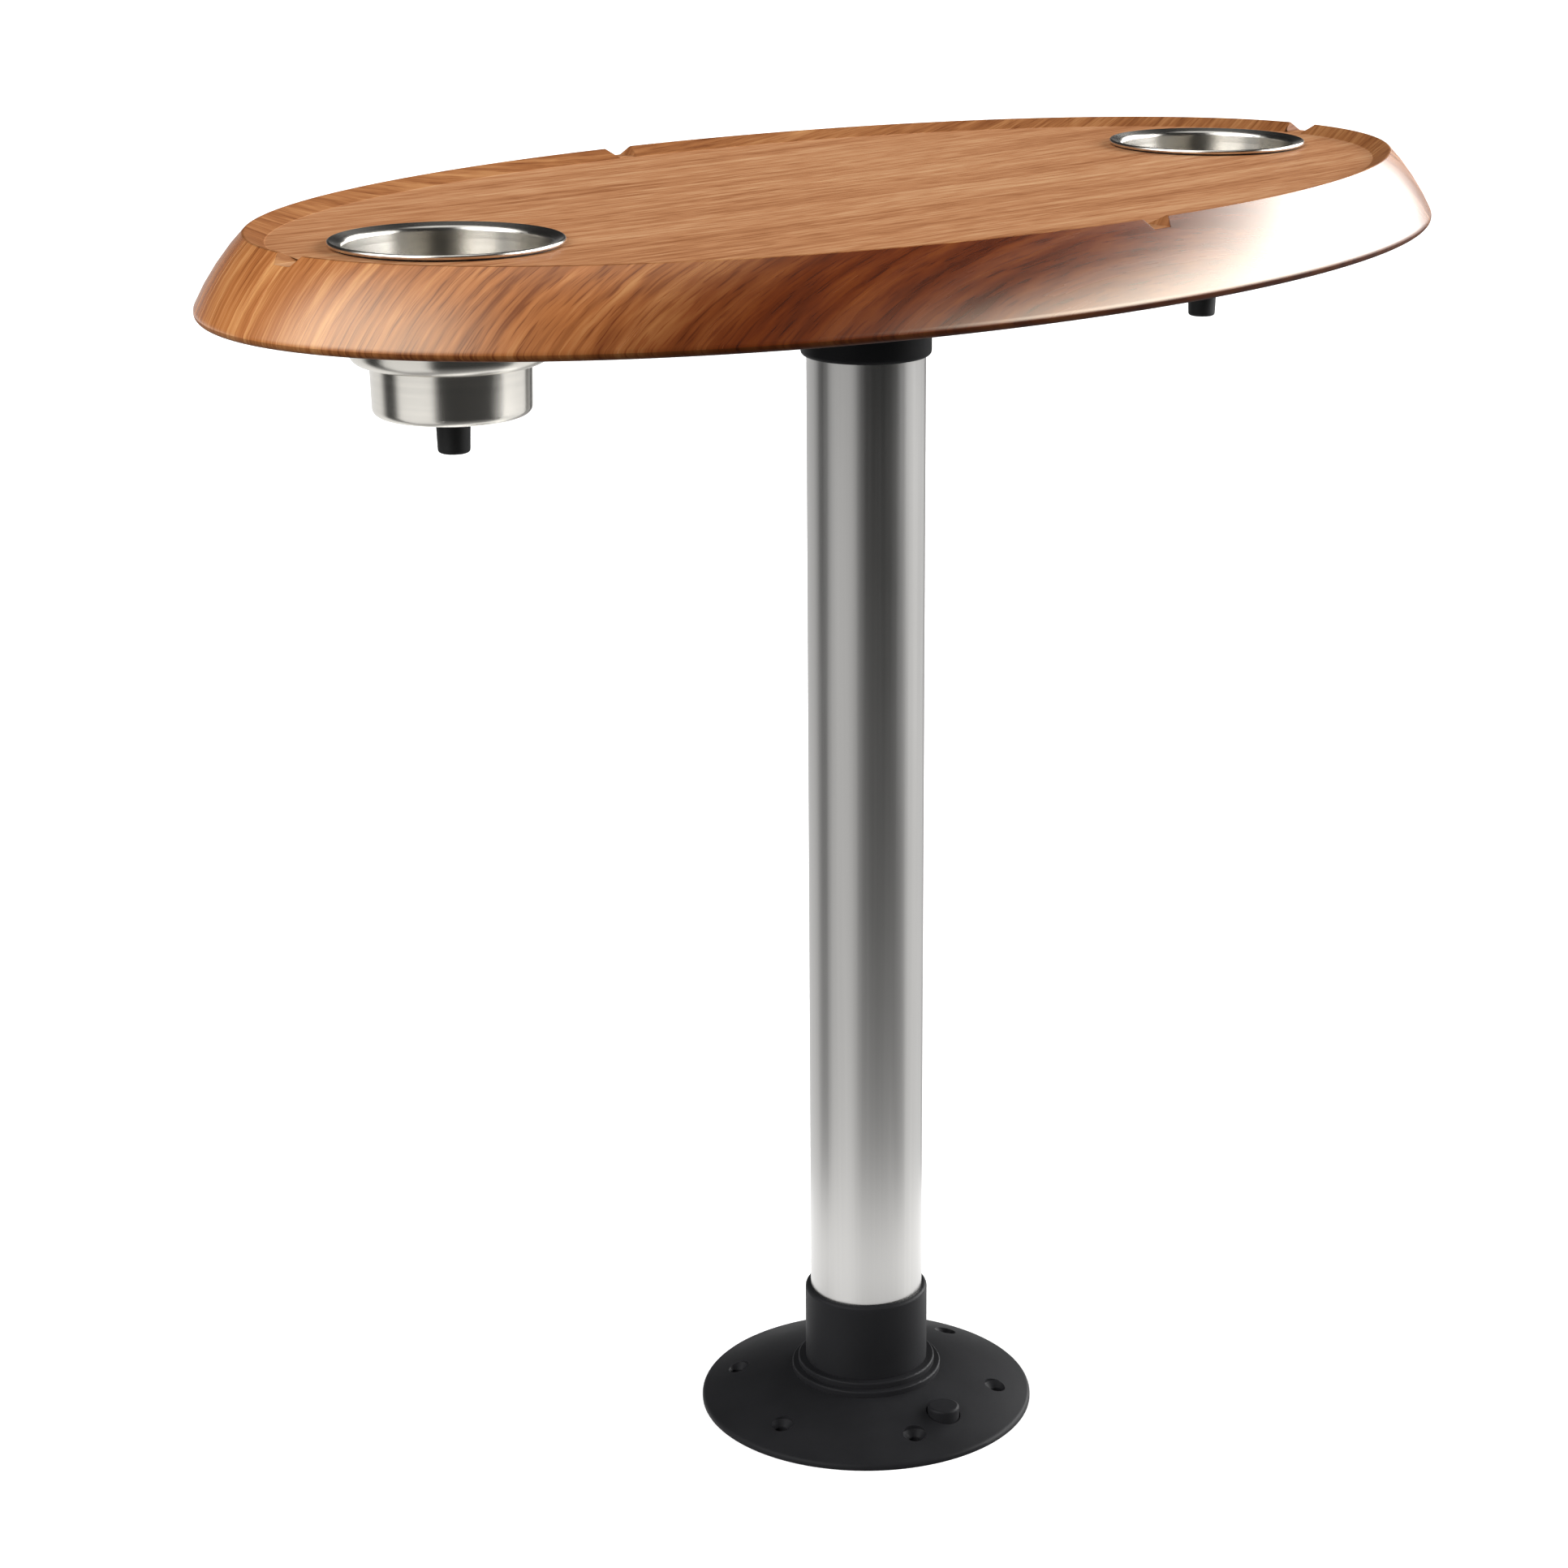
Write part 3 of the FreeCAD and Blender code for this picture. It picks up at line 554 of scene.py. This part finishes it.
def turn_outline(corners: Sequence[Corner], steps: int) -> BMesh:
    """Spins an outline about the Z axis.

    Args:
        corners: The outline, with the roundings of its corners.
        steps: Number of steps of the full turn.

    Returns:
        The turned skin, merged and facing outwards.
    """
    shape = bmesh.new()
    verts = [shape.verts.new((corner.radius, 0.0, corner.height)) for corner in corners]
    for first, second in zip(verts, verts[1:]):
        shape.edges.new((first, second))
    reach = {}
    for before, vert, after, corner in zip(verts, verts[1:], verts[2:], corners[1:]):
        bend = (vert.co - before.co).angle(after.co - vert.co)
        reach[vert] = (corner.rounding * math.tan(bend / 2), bend)
    for vert, (offset, bend) in reach.items():
        if offset:
            bmesh.ops.bevel(shape, geom=[vert], offset=offset, offset_type="OFFSET", profile=0.5, material=-1,
                            segments=max(2, math.ceil(bend / ROUND_STEP)), affect="VERTICES")
    bmesh.ops.spin(shape, geom=shape.verts[:] + shape.edges[:], cent=(0, 0, 0), axis=(0, 0, 1),
                   dvec=(0, 0, 0), angle=math.tau, steps=steps, use_merge=True)
    bmesh.ops.remove_doubles(shape, verts=shape.verts, dist=MERGE_GAP)
    bmesh.ops.recalc_face_normals(shape, faces=shape.faces)
    return shape


def carve(shape: BMesh, cutter: BMesh) -> BMesh:
    """Cuts one closed shape out of another, and frees both.

    Args:
        shape: The shape that is cut.
        cutter: What is cut away.

    Returns:
        The carved shape.
    """
    pieces = [loose_object("carve", part) for part in (shape, cutter)]
    modifier = pieces[0].modifiers.new("carve", "BOOLEAN")
    modifier.object = pieces[1]
    modifier.operation = "DIFFERENCE"
    modifier.solver = "EXACT"
    modifier.use_self = True
    carved = bmesh.new()
    carved.from_object(pieces[0], bpy.context.evaluated_depsgraph_get())
    for piece in pieces:
        bpy.data.meshes.remove(piece.data)
    return carved


def join(shape: BMesh, other: BMesh) -> None:
    """Adds a shape to another.

    Args:
        shape: The shape that is added to.
        other: What is added, which is freed.
    """
    mesh = bpy.data.meshes.new("join")
    other.to_mesh(mesh)
    other.free()
    shape.from_mesh(mesh)
    bpy.data.meshes.remove(mesh)


def loose_object(name: str, shape: BMesh) -> bpy.types.Object:
    """Puts a shape in the scene as an object of its own.

    Args:
        name: The object's name.
        shape: Its shape, which is freed.

    Returns:
        The object.
    """
    mesh = bpy.data.meshes.new(name)
    shape.to_mesh(mesh)
    shape.free()
    piece = bpy.data.objects.new(name, mesh)
    bpy.context.scene.collection.objects.link(piece)
    return piece


def add_piece(name: str, shape: BMesh, finishes: Sequence[Finishes], body: str,
              *nodes: str) -> bpy.types.Object:
    """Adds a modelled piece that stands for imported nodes.

    Args:
        name: The piece's name.
        shape: Its shape, which is freed.
        finishes: Its finishes, in the order of its faces' material numbers.
        body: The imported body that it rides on.
        nodes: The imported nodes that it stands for.

    Returns:
        The piece.
    """
    piece = loose_object(name, shape)
    for finish in finishes:
        piece.data.materials.append(finish.value.material())
    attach(piece, body)
    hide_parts(*nodes)
    log.info("modelled %s on %s", name, body)
    return piece


def dress(finish: Finishes, *nodes: str) -> None:
    """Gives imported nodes, whose shapes stay, a finish.

    Args:
        finish: The finish.
        nodes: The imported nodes.
    """
    for node in nodes:
        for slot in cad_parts[node].material_slots:
            slot.material = finish.value.material()
        log.info("dressed %s in %s", node, finish.value.name)


class TrayFace(IntEnum):
    """Material numbers of the tray's faces."""

    DECK = 0
    SKIRT = 1
    RIM = 2
    LIP = 3


@dataclass
class TrayTop:
    """The oval tray: flared skirt, round ridge, sloped rim with notches, and a deck with two cup holes.

    Args:
        skirt_flare: How far the skirt stands out from the ridge.
        skirt_lean: Its lean above the lip, in degrees.
        lip_rounding: Radius of its lower edge.
        ridge_rounding: Radius of the ridge.
        ridge_reach: How far the ridge's corner stands past its round crest.
        slope_width: Width of the slope inside the ridge.
        slope_rounding: Radius between the slope and the deck.
        rebate_wall: The skirt's wall beside the panel's rebate.
        ledge_width: The ledge that the panel lies against.
        hollow_outset: How far the hollow reaches past the ridge line under the deck.
        rounding_share: Share of a full rounding that leaves a little of each neighbouring edge.
        hole_radius: Radius of the cup holes.
        hole_steps: Steps round a hole.
        steps: Steps round the tray.
        notch_floor_width: Width of a notch's floor.
        notch_top_width: Its width at the ridge.
        notch_floor_rise: Its floor above the deck.
        notch_overrun: How far its cutter runs past the rim.
        edge_width: Width of the softened edges.
        edge_steps: Steps of a softened edge.
        edge_angle: Bend above which an edge is softened, in degrees.
        sharp_angle: Bend above which an edge is shaded sharp, in degrees.
    """

    skirt_flare: float = 0.0235
    skirt_lean: float = 25.0
    lip_rounding: float = 0.0035
    ridge_rounding: float = 0.0012
    ridge_reach: float = 0.0008
    slope_width: float = 0.0102
    slope_rounding: float = 0.0015
    rebate_wall: float = 0.007
    ledge_width: float = 0.004
    hollow_outset: float = 0.0004
    rounding_share: float = 0.99
    hole_radius: float = 0.0476
    hole_steps: int = 96
    steps: int = 288
    notch_floor_width: float = 0.011
    notch_top_width: float = 0.018
    notch_floor_rise: float = 0.0002
    notch_overrun: float = 0.004
    edge_width: float = 0.0004
    edge_steps: int = 2
    edge_angle: float = 40.0
    sharp_angle: float = 35.0

    def __post_init__(self) -> None:
        """Takes the tray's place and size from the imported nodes."""
        low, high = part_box("table_top")
        self.bottom, self.top = low.z, high.z
        self.half_length = high.x - self.skirt_flare
        self.half_width = high.y - self.skirt_flare
        self.deck_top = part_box("cup_gasket_left")[0].z
        self.deck_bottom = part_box("stiffening_board")[1].z
        self.ledge_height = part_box("underside_panel")[1].z
        cup_low, cup_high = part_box("cup_holder_right")
        self.cup_place = (cup_low.x + cup_high.x) / 2

    def build(self) -> None:
        """Models the tray, with softened edges."""
        shape = carve(self.shell(), self.notches())
        self.sort_faces(shape)
        piece = add_piece("tray_top", shape, [Finishes[face.name] for face in TrayFace], "table", "table_top")
        piece.data.set_sharp_from_angle(angle=math.radians(self.sharp_angle))
        bevel = piece.modifiers.new("soft_edges", "BEVEL")
        bevel.width = self.edge_width
        bevel.segments = self.edge_steps
        bevel.profile = 0.5
        bevel.limit_method = "ANGLE"
        bevel.angle_limit = math.radians(self.edge_angle)
        bevel.harden_normals = True

    def section(self) -> list[Corner]:
        """Draws the outline of the rim, the skirt and the hollow.

        Returns:
            Its corners, outwards from the deck's edge and round to its underside.
        """
        lean = math.radians(self.skirt_lean)
        facing = Vector((math.cos(lean), math.sin(lean)))
        rising = Vector((-facing.y, facing.x))
        lip = Vector((self.skirt_flare - self.lip_rounding, self.bottom + self.lip_rounding))
        start = lip + facing * self.lip_rounding
        crest = Vector((0.0, self.top - self.ridge_rounding / 2))
        chord = crest - start
        radius = chord.length_squared / (-2 * chord.dot(facing))
        shoulder = start + rising * radius * math.tan(rising.angle(chord))
        ridge = crest + (crest - shoulder).normalized() * self.ridge_reach
        foot = start - rising * (start.y - self.bottom) / rising.y
        rebate = self.skirt_flare - self.rebate_wall
        places = (
            (-self.slope_width - self.slope_rounding, self.deck_top, 0.0),
            (-self.slope_width, self.deck_top, self.slope_rounding),
            (*ridge, self.ridge_rounding),
            (*shoulder, radius * self.rounding_share),
            (*foot, self.lip_rounding * self.rounding_share),
            (rebate, self.bottom, self.ridge_rounding),
            (rebate, self.ledge_height, 0.0),
            (rebate - self.ledge_width, self.ledge_height, 0.0),
            (self.hollow_outset, self.deck_bottom, 0.0),
        )
        return [Corner(self.half_width + out, height, rounding) for out, height, rounding in places]

    def shell(self) -> BMesh:
        """Spins the rim and skirt, stretches them to an oval, and fills in both faces of the deck.

        Returns:
            The closed shell.
        """
        shape = turn_outline(self.section(), self.steps)
        for vert in shape.verts:
            vert.co.x += (self.half_length - self.half_width) * vert.co.x / vert.co.xy.length
        rims = [edge for edge in shape.edges if edge.is_boundary]
        mouths: list[BMEdge] = []
        for height in (self.deck_top, self.deck_bottom):
            ring = [edge for edge in rims if abs(edge.verts[0].co.z - height) < self.edge_width]
            holes = self.hole_rings(shape, height)
            bmesh.ops.triangle_fill(shape, edges=ring + holes, use_beauty=True)
            for edge in ring + holes:
                edge.smooth = False
            mouths += holes
        for side in (-1, 1):
            loops = [edge for edge in mouths if edge.verts[0].co.x * side > 0]
            bmesh.ops.bridge_loops(shape, edges=loops)
        bmesh.ops.recalc_face_normals(shape, faces=shape.faces)
        return shape

    def hole_rings(self, shape: BMesh, height: float) -> list[BMEdge]:
        """Adds the rings of both cup holes.

        Args:
            shape: The shape that they are added to.
            height: Their height.

        Returns:
            Their edges.
        """
        edges = set()
        for side in (-1, 1):
            ring = bmesh.ops.create_circle(shape, segments=self.hole_steps, radius=self.hole_radius,
                                           matrix=Matrix.Translation((side * self.cup_place, 0.0, height)))
            edges.update(edge for vert in ring["verts"] for edge in vert.link_edges)
        return list(edges)

    def notches(self) -> BMesh:
        """Makes the wedges that cut the drain notches through the rim.

        Returns:
            One wedge at each end of the two axes.
        """
        shape = bmesh.new()
        floor = self.deck_top + self.notch_floor_rise
        rise = self.top - floor
        spread = (self.notch_top_width - self.notch_floor_width) / 2 / rise
        half_floor = self.notch_floor_width / 2
        half_top = half_floor + spread * (rise + self.notch_overrun)
        start = -self.slope_width - self.notch_overrun
        for turn, reach in enumerate((self.half_length, self.half_width) * 2):
            corners = ((-half_floor, floor), (half_floor, floor), (half_top, self.top + self.notch_overrun),
                       (-half_top, self.top + self.notch_overrun))
            face = shape.faces.new([shape.verts.new((reach + start, y, z)) for y, z in corners])
            grown = bmesh.ops.extrude_face_region(shape, geom=[face])["geom"]
            moved = [item for item in grown if isinstance(item, BMVert)]
            bmesh.ops.translate(shape, verts=moved, vec=(self.skirt_flare - start, 0.0, 0.0))
            bmesh.ops.rotate(shape, verts=moved + face.verts[:], cent=(0, 0, 0),
                             matrix=Matrix.Rotation(turn * math.pi / 2, 3, "Z"))
        bmesh.ops.recalc_face_normals(shape, faces=shape.faces)
        return shape

    def sort_faces(self, shape: BMesh) -> None:
        """Gives the deck, the skirt, the slope inside the ridge and the lip below their finishes.

        Args:
            shape: The tray.
        """
        for face in shape.faces:
            face.smooth = True
            middle = face.calc_center_median()
            inside = math.hypot(middle.x / self.half_length, middle.y / self.half_width) < 1.0
            if not inside or middle.z < self.deck_top - self.edge_width:
                face.material_index = TrayFace.LIP if face.normal.z < 0.0 else TrayFace.SKIRT
            elif middle.z > self.deck_top + self.edge_width:
                face.material_index = TrayFace.RIM


@dataclass
class ScrewSet:
    """Countersunk screws with cross recesses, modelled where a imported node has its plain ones.

    Args:
        node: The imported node, whose screws have their heads below.
        body: The body that they ride on.
        shank_radius: Radius of the shank.
        steps: Steps round a screw.
        face_height: Height of the head's straight edge.
        arm_width: Half the width of a recess's arms, as a share of the head's radius.
        arm_reach: Their reach, as such a share.
        arm_depth: Their depth, as such a share.
        arm_taper: Their width at the bottom, as a share of that at the face.
        sharp_angle: Bend above which an edge is shaded sharp, in degrees.
    """

    node: str
    body: str
    shank_radius: float
    steps: int = 36
    face_height: float = 0.0003
    arm_width: float = 0.26
    arm_reach: float = 0.62
    arm_depth: float = 0.55
    arm_taper: float = 0.6
    sharp_angle: float = 30.0

    def build(self) -> None:
        """Models the screws."""
        screws, recesses = bmesh.new(), bmesh.new()
        for low, high in self.boxes():
            self.add_screw(screws, low, high)
            self.add_recess(recesses, low, high)
        shape = carve(screws, recesses)
        for face in shape.faces:
            face.smooth = True
        piece = add_piece(self.node + "_crossed", shape, (Finishes.PLATED,), self.body, self.node)
        piece.data.set_sharp_from_angle(angle=math.radians(self.sharp_angle))

    def boxes(self) -> list[tuple[Vector, Vector]]:
        """Finds the node's screws.

        Returns:
            The lowest and the highest corner of each.
        """
        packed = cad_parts[self.node]
        shape = bmesh.new()
        shape.from_mesh(packed.data)
        shape.transform(packed.matrix_world)
        bmesh.ops.remove_doubles(shape, verts=shape.verts, dist=MERGE_GAP)
        left = set(shape.verts)
        found = []
        while left:
            group, waiting = set(), [left.pop()]
            while waiting:
                vert = waiting.pop()
                group.add(vert)
                near = [edge.other_vert(vert) for edge in vert.link_edges]
                waiting += [other for other in near if other in left]
                left.difference_update(near)
            corners = list(zip(*(vert.co for vert in group)))
            found.append((Vector(map(min, corners)), Vector(map(max, corners))))
        shape.free()
        return found

    def add_screw(self, shape: BMesh, low: Vector, high: Vector) -> None:
        """Adds one screw.

        Args:
            shape: The shape that it is added to.
            low: Lowest corner of its box.
            high: Highest corner of its box.
        """
        head = (high.x - low.x) / 2
        neck = low.z + self.face_height + head - self.shank_radius
        one = turn_outline((
            Corner(0.0, low.z), Corner(head, low.z), Corner(head, low.z + self.face_height),
            Corner(self.shank_radius, neck), Corner(self.shank_radius, high.z - self.shank_radius / 2),
            Corner(self.shank_radius / 2, high.z), Corner(0.0, high.z)), self.steps)
        middle = (low + high) / 2
        bmesh.ops.translate(one, verts=one.verts, vec=(middle.x, middle.y, 0.0))
        join(shape, one)

    def add_recess(self, shape: BMesh, low: Vector, high: Vector) -> None:
        """Adds the tapered cross that is cut into one screw's head.

        Args:
            shape: The shape that it is added to.
            low: Lowest corner of the screw's box.
            high: Highest corner of the screw's box.
        """
        head = (high.x - low.x) / 2
        middle = (low + high) / 2
        depth = head * self.arm_depth
        for across, along in ((self.arm_width, self.arm_reach), (self.arm_reach, self.arm_width)):
            size = Matrix.Diagonal((2 * across * head, 2 * along * head, 2 * depth, 1.0))
            place = Matrix.Translation((middle.x, middle.y, low.z))
            cube = bmesh.ops.create_cube(shape, size=1.0, matrix=place @ size)
            for vert in cube["verts"]:
                if vert.co.z > low.z:
                    vert.co.x = middle.x + (vert.co.x - middle.x) * self.arm_taper
                    vert.co.y = middle.y + (vert.co.y - middle.y) * self.arm_taper


class Side(Enum):
    """The two ends of the table."""

    LEFT = "left"
    RIGHT = "right"


@dataclass
class CupHolder:
    """A drop-in cup with its gasket and drain cap.

    Args:
        side: Its end of the table.
    """

    side: Side

    def build(self) -> None:
        """Dresses the cup's pieces."""
        dress(Finishes.STEEL, "cup_holder_" + self.side.value)
        dress(Finishes.RUBBER, "cup_gasket_" + self.side.value, "drain_cap_" + self.side.value)


@dataclass
class Underside:
    """What the tray hides: board, block, panel, socket and screws."""

    def build(self) -> None:
        """Dresses the pieces under the deck, and models their screws."""
        dress(Finishes.PLY, "stiffening_board", "mounting_block")
        dress(Finishes.PANEL, "underside_panel")
        dress(Finishes.BLACK, "top_socket")
        ScrewSet("panel_screws", "table", 0.00195).build()
        ScrewSet("socket_screws", "table", 0.0024).build()


@dataclass
class Post:
    """The tube and its end plugs."""

    def build(self) -> None:
        """Dresses the post's pieces."""
        dress(Finishes.ALUMINIUM, "pedestal_tube")
        dress(Finishes.BLACK, "tube_foot_plug", "tube_top_plug")


@dataclass
class LatchSpring:
    """The coil between the bolt and the cover's tab, which the sliding bolt squeezes.

    Args:
        bearing: Direction of the latch from the post, in degrees.
        length: Length of the coil over its wire.
        diameter: Outer diameter of the coil.
        wire: Diameter of the wire.
        turns: Number of turns.
        travel: How far the bolt squeezes it; not used.
        steps: Steps of each turn.
        sides: Sides of the wire.
    """

    bearing: float = -93.8
    length: float = 0.0079
    diameter: float = 0.0034
    wire: float = 0.0006
    turns: int = 5
    travel: float = 0.003
    steps: int = 24
    sides: int = 10

    def build(self) -> None:
        """Winds the coil and lays it along the latch in the imported spring's place."""
        low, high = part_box("bolt_spring")
        turn = Matrix.Rotation(math.radians(self.bearing), 4, "Z")
        latch = turn @ Matrix.Rotation(math.pi / 2, 4, "Y")
        middle = (low + high) / 2
        shape = self.coil()
        bmesh.ops.transform(shape, matrix=Matrix.Translation(middle) @ latch, verts=shape.verts)
        piece = add_piece("latch_spring", shape, (Finishes.PLATED,), "base", "bolt_spring")
        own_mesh(piece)

    def coil(self) -> BMesh:
        """Winds the coil about the Z axis.

        Returns:
            The coil, half above the origin and half below.
        """
        run = self.length - self.wire
        start = Matrix.Translation(((self.diameter - self.wire) / 2, 0.0, -run / 2))
        shape = bmesh.new()
        bmesh.ops.create_circle(shape, segments=self.sides, radius=self.wire / 2,
                                matrix=start @ Matrix.Rotation(math.pi / 2, 4, "X"))
        count = self.turns * self.steps
        bmesh.ops.spin(shape, geom=shape.verts[:] + shape.edges[:], cent=(0, 0, 0), axis=(0, 0, 1),
                       dvec=(0, 0, run / count), angle=math.tau * self.turns, steps=count)
        bmesh.ops.holes_fill(shape, edges=shape.edges)
        bmesh.ops.recalc_face_normals(shape, faces=shape.faces)
        for face in shape.faces:
            face.smooth = len(face.verts) == 4
        return shape


@dataclass
class FloorBase:
    """The floor base with its button and latch."""

    def build(self) -> None:
        """Dresses the base's pieces, and models its screws and spring."""
        dress(Finishes.BLACK, "base_flange", "release_button", "latch_cover")
        dress(Finishes.ACETAL, "thrust_washer")
        dress(Finishes.PLATED, "lock_bolt")
        ScrewSet("cover_screws", "base", 0.0014).build()
        LatchSpring().build()


@dataclass(frozen=True)
class SoftPanel:
    """A soft light panel round the table.

    Args:
        bearing: Degrees to the right of the camera, seen from the table.
        spread: Half its width, in degrees.
        lowest: Its lower edge above the horizon, in degrees.
        highest: Its upper edge.
        fade: Width of its soft edges, in degrees.
        level: Its brightness.
    """

    bearing: float
    spread: float
    lowest: float
    highest: float
    fade: float
    level: float

    def light(self, graph: Graph, heading: Socket, height: Socket, camera_bearing: float) -> Socket:
        """The panel's light.

        Args:
            graph: The world's graph.
            heading: Level unit vector of the direction that is looked in.
            height: Its elevation, in radians.
            camera_bearing: Angle of the camera's side of the table from +X, in radians.

        Returns:
            Its brightness in that direction.
        """
        angle = camera_bearing + math.radians(self.bearing)
        aside = graph.math("ARCCOSINE", graph.dot(heading, (math.cos(angle), math.sin(angle), 0.0)))
        fade = math.radians(self.fade) / 2
        spread, lowest, highest = (math.radians(value) for value in (self.spread, self.lowest, self.highest))
        across = graph.ease(aside, spread + fade, spread - fade)
        above = graph.ease(height, lowest - fade, lowest + fade)
        below = graph.ease(height, highest + fade, highest - fade)
        return across * above * below * self.level


@dataclass
class Studio:
    """Pale floor, soft light and camera.

    Args:
        camera_place: Where the camera stands.
        camera_pitch: How far it looks down, in degrees.
        lens: Its focal length, in millimetres.
        shift: Its sideways shift, as a share of the picture's width.
        floor_size: Side of the floor.
        floor_colour: Colour of the floor.
        floor_roughness: Its roughness.
        floor_glow: How much it glows.
        bounce_radius: Radius of the bright round of floor.
        bounce_steps: Steps round it.
        bounce_level: Its brightness.
        bounce_fade: Shares of that brightness, by shares of the radius.
        fill: Brightness of the room between the panels.
        panels: The soft panels.
    """

    camera_place: tuple[float, float, float] = (-1.2063, -1.2092, 0.8828)
    camera_pitch: float = 17.305
    lens: float = 78.85
    shift: float = -0.0524
    floor_size: float = 40.0
    floor_colour: Colour = (0.7, 0.7, 0.7)
    floor_roughness: float = 0.9
    floor_glow: float = 0.45
    bounce_radius: float = 1.6
    bounce_steps: int = 64
    bounce_level: float = 1.65
    bounce_fade: Sequence[tuple[float, float]] = (
        (0.07, 0.2), (0.115, 1.0), (0.17, 1.0), (0.2, 0.3),
        (0.3, 0.15), (0.45, 0.11), (0.8, 0.04), (1.0, 0.0))
    fill: float = 0.028
    panels: Sequence[SoftPanel] = field(default_factory=lambda: (
        SoftPanel(-48.0, 30.0, -60.0, 20.0, 14.0, 1.0),
        SoftPanel(-52.0, 34.0, 18.0, 58.0, 34.0, 8.0),
        SoftPanel(118.0, 34.0, -60.0, 3.0, 12.0, 1.05),
        SoftPanel(110.5, 38.5, 6.0, 30.0, 20.0, 18.5),
        SoftPanel(-150.0, 42.0, -60.0, 0.0, 18.0, 1.05),
        SoftPanel(0.0, 200.0, 70.0, 100.0, 20.0, 1.8),
    ))

    def build(self) -> None:
        """Sets up the camera, the light and the floor."""
        self.add_camera()
        self.add_world()
        self.add_floor()
        bpy.context.scene.view_settings.view_transform = "Standard"

    def add_camera(self) -> None:
        """Places the camera at the photograph's viewing angle."""
        data = bpy.data.cameras.new("camera")
        data.lens = self.lens
        data.shift_x = self.shift
        camera = bpy.data.objects.new("camera", data)
        camera.location = self.camera_place
        bearing = math.atan2(-self.camera_place[1], -self.camera_place[0])
        camera.rotation_euler = (math.pi / 2 - math.radians(self.camera_pitch), 0.0, bearing - math.pi / 2)
        bpy.context.scene.collection.objects.link(camera)
        bpy.context.scene.camera = camera

    def add_world(self) -> None:
        """Lights the table by the soft panels, before a white background."""
        world = bpy.data.worlds.new("studio")
        bpy.context.scene.world = world
        graph = Graph(world)
        view = graph.node("TexCoord", {}, {}, "Generated")
        heading = graph.vector("NORMALIZE", graph.vector("MULTIPLY", view, LEVEL))
        height = graph.math("ARCSINE", graph.dot(view, UP))
        camera_bearing = math.atan2(self.camera_place[1], self.camera_place[0])
        level: Operand = self.fill
        for panel in self.panels:
            level = panel.light(graph, heading, height, camera_bearing) + level
        light = graph.node("Background", {}, {"Strength": level}, "Background")
        white = {"Color": rgba(WHITE), "Strength": 1.0}
        backdrop = graph.node("Background", {}, white, "Background")
        seen = graph.node("LightPath", {}, {}, "Is Camera Ray")
        surface = graph.node("MixShader", {}, {0: seen, 1: light, 2: backdrop})
        graph.node("OutputWorld", {}, {"Surface": surface})

    def add_floor(self) -> None:
        """Lays the pale floor, and the bright round of it near the base that the metal mirrors."""
        plain = bmesh.new()
        bmesh.ops.create_grid(plain, x_segments=1, y_segments=1, size=self.floor_size / 2)
        floor = loose_object("floor", plain)
        floor.data.materials.append(self.floor_material())
        patch = bmesh.new()
        bmesh.ops.create_circle(patch, cap_ends=True, segments=self.bounce_steps, radius=self.bounce_radius)
        bounce = loose_object("floor_bounce", patch)
        bounce.data.materials.append(self.bounce_material())
        for piece in (floor, bounce):
            piece.visible_diffuse = piece.visible_shadow = piece.visible_transmission = False
        floor.visible_glossy = False
        bounce.visible_camera = False

    def floor_material(self) -> bpy.types.Material:
        """White paper that glows a little, so that shadows stay faint.

        Returns:
            Its material.
        """
        material = bpy.data.materials.new("pale_floor")
        graph = Graph(material)
        sockets = {"Base Color": rgba(self.floor_colour), "Roughness": self.floor_roughness,
                   "Specular IOR Level": 0.0, "Emission Color": rgba(WHITE),
                   "Emission Strength": self.floor_glow}
        shader = graph.node("BsdfPrincipled", {}, sockets, "BSDF")
        graph.node("OutputMaterial", {}, {"Surface": shader})
        return material

    def bounce_material(self) -> bpy.types.Material:
        """White light from the floor, which fades away from the base.

        Returns:
            Its material.
        """
        material = bpy.data.materials.new("floor_bounce")
        graph = Graph(material)
        place = graph.node("TexCoord", {}, {}, "Object")
        away = graph.vector("LENGTH", place, output="Value") * (1 / self.bounce_radius)
        share = graph.ramp(away, [(stop, (level, level, level)) for stop, level in self.bounce_fade])
        clear = graph.node("BsdfTransparent", {}, {}, "BSDF")
        glow = graph.node("Emission", {}, {"Strength": self.bounce_level}, "Emission")
        surface = graph.node("MixShader", {}, {0: share, 1: clear, 2: glow})
        graph.node("OutputMaterial", {}, {"Surface": surface})
        return material


def main() -> None:
    """Builds the studio and the table's sub-assemblies in order."""
    logging.basicConfig(level=logging.INFO, format="%(message)s")
    assemblies = (Studio(), TrayTop(), CupHolder(Side.LEFT), CupHolder(Side.RIGHT), Underside(), Post(),
                  FloorBase())
    for assembly in assemblies:
        assembly.build()
        log.info("built %s", type(assembly).__name__)


if __name__ == "__main__":
    main()
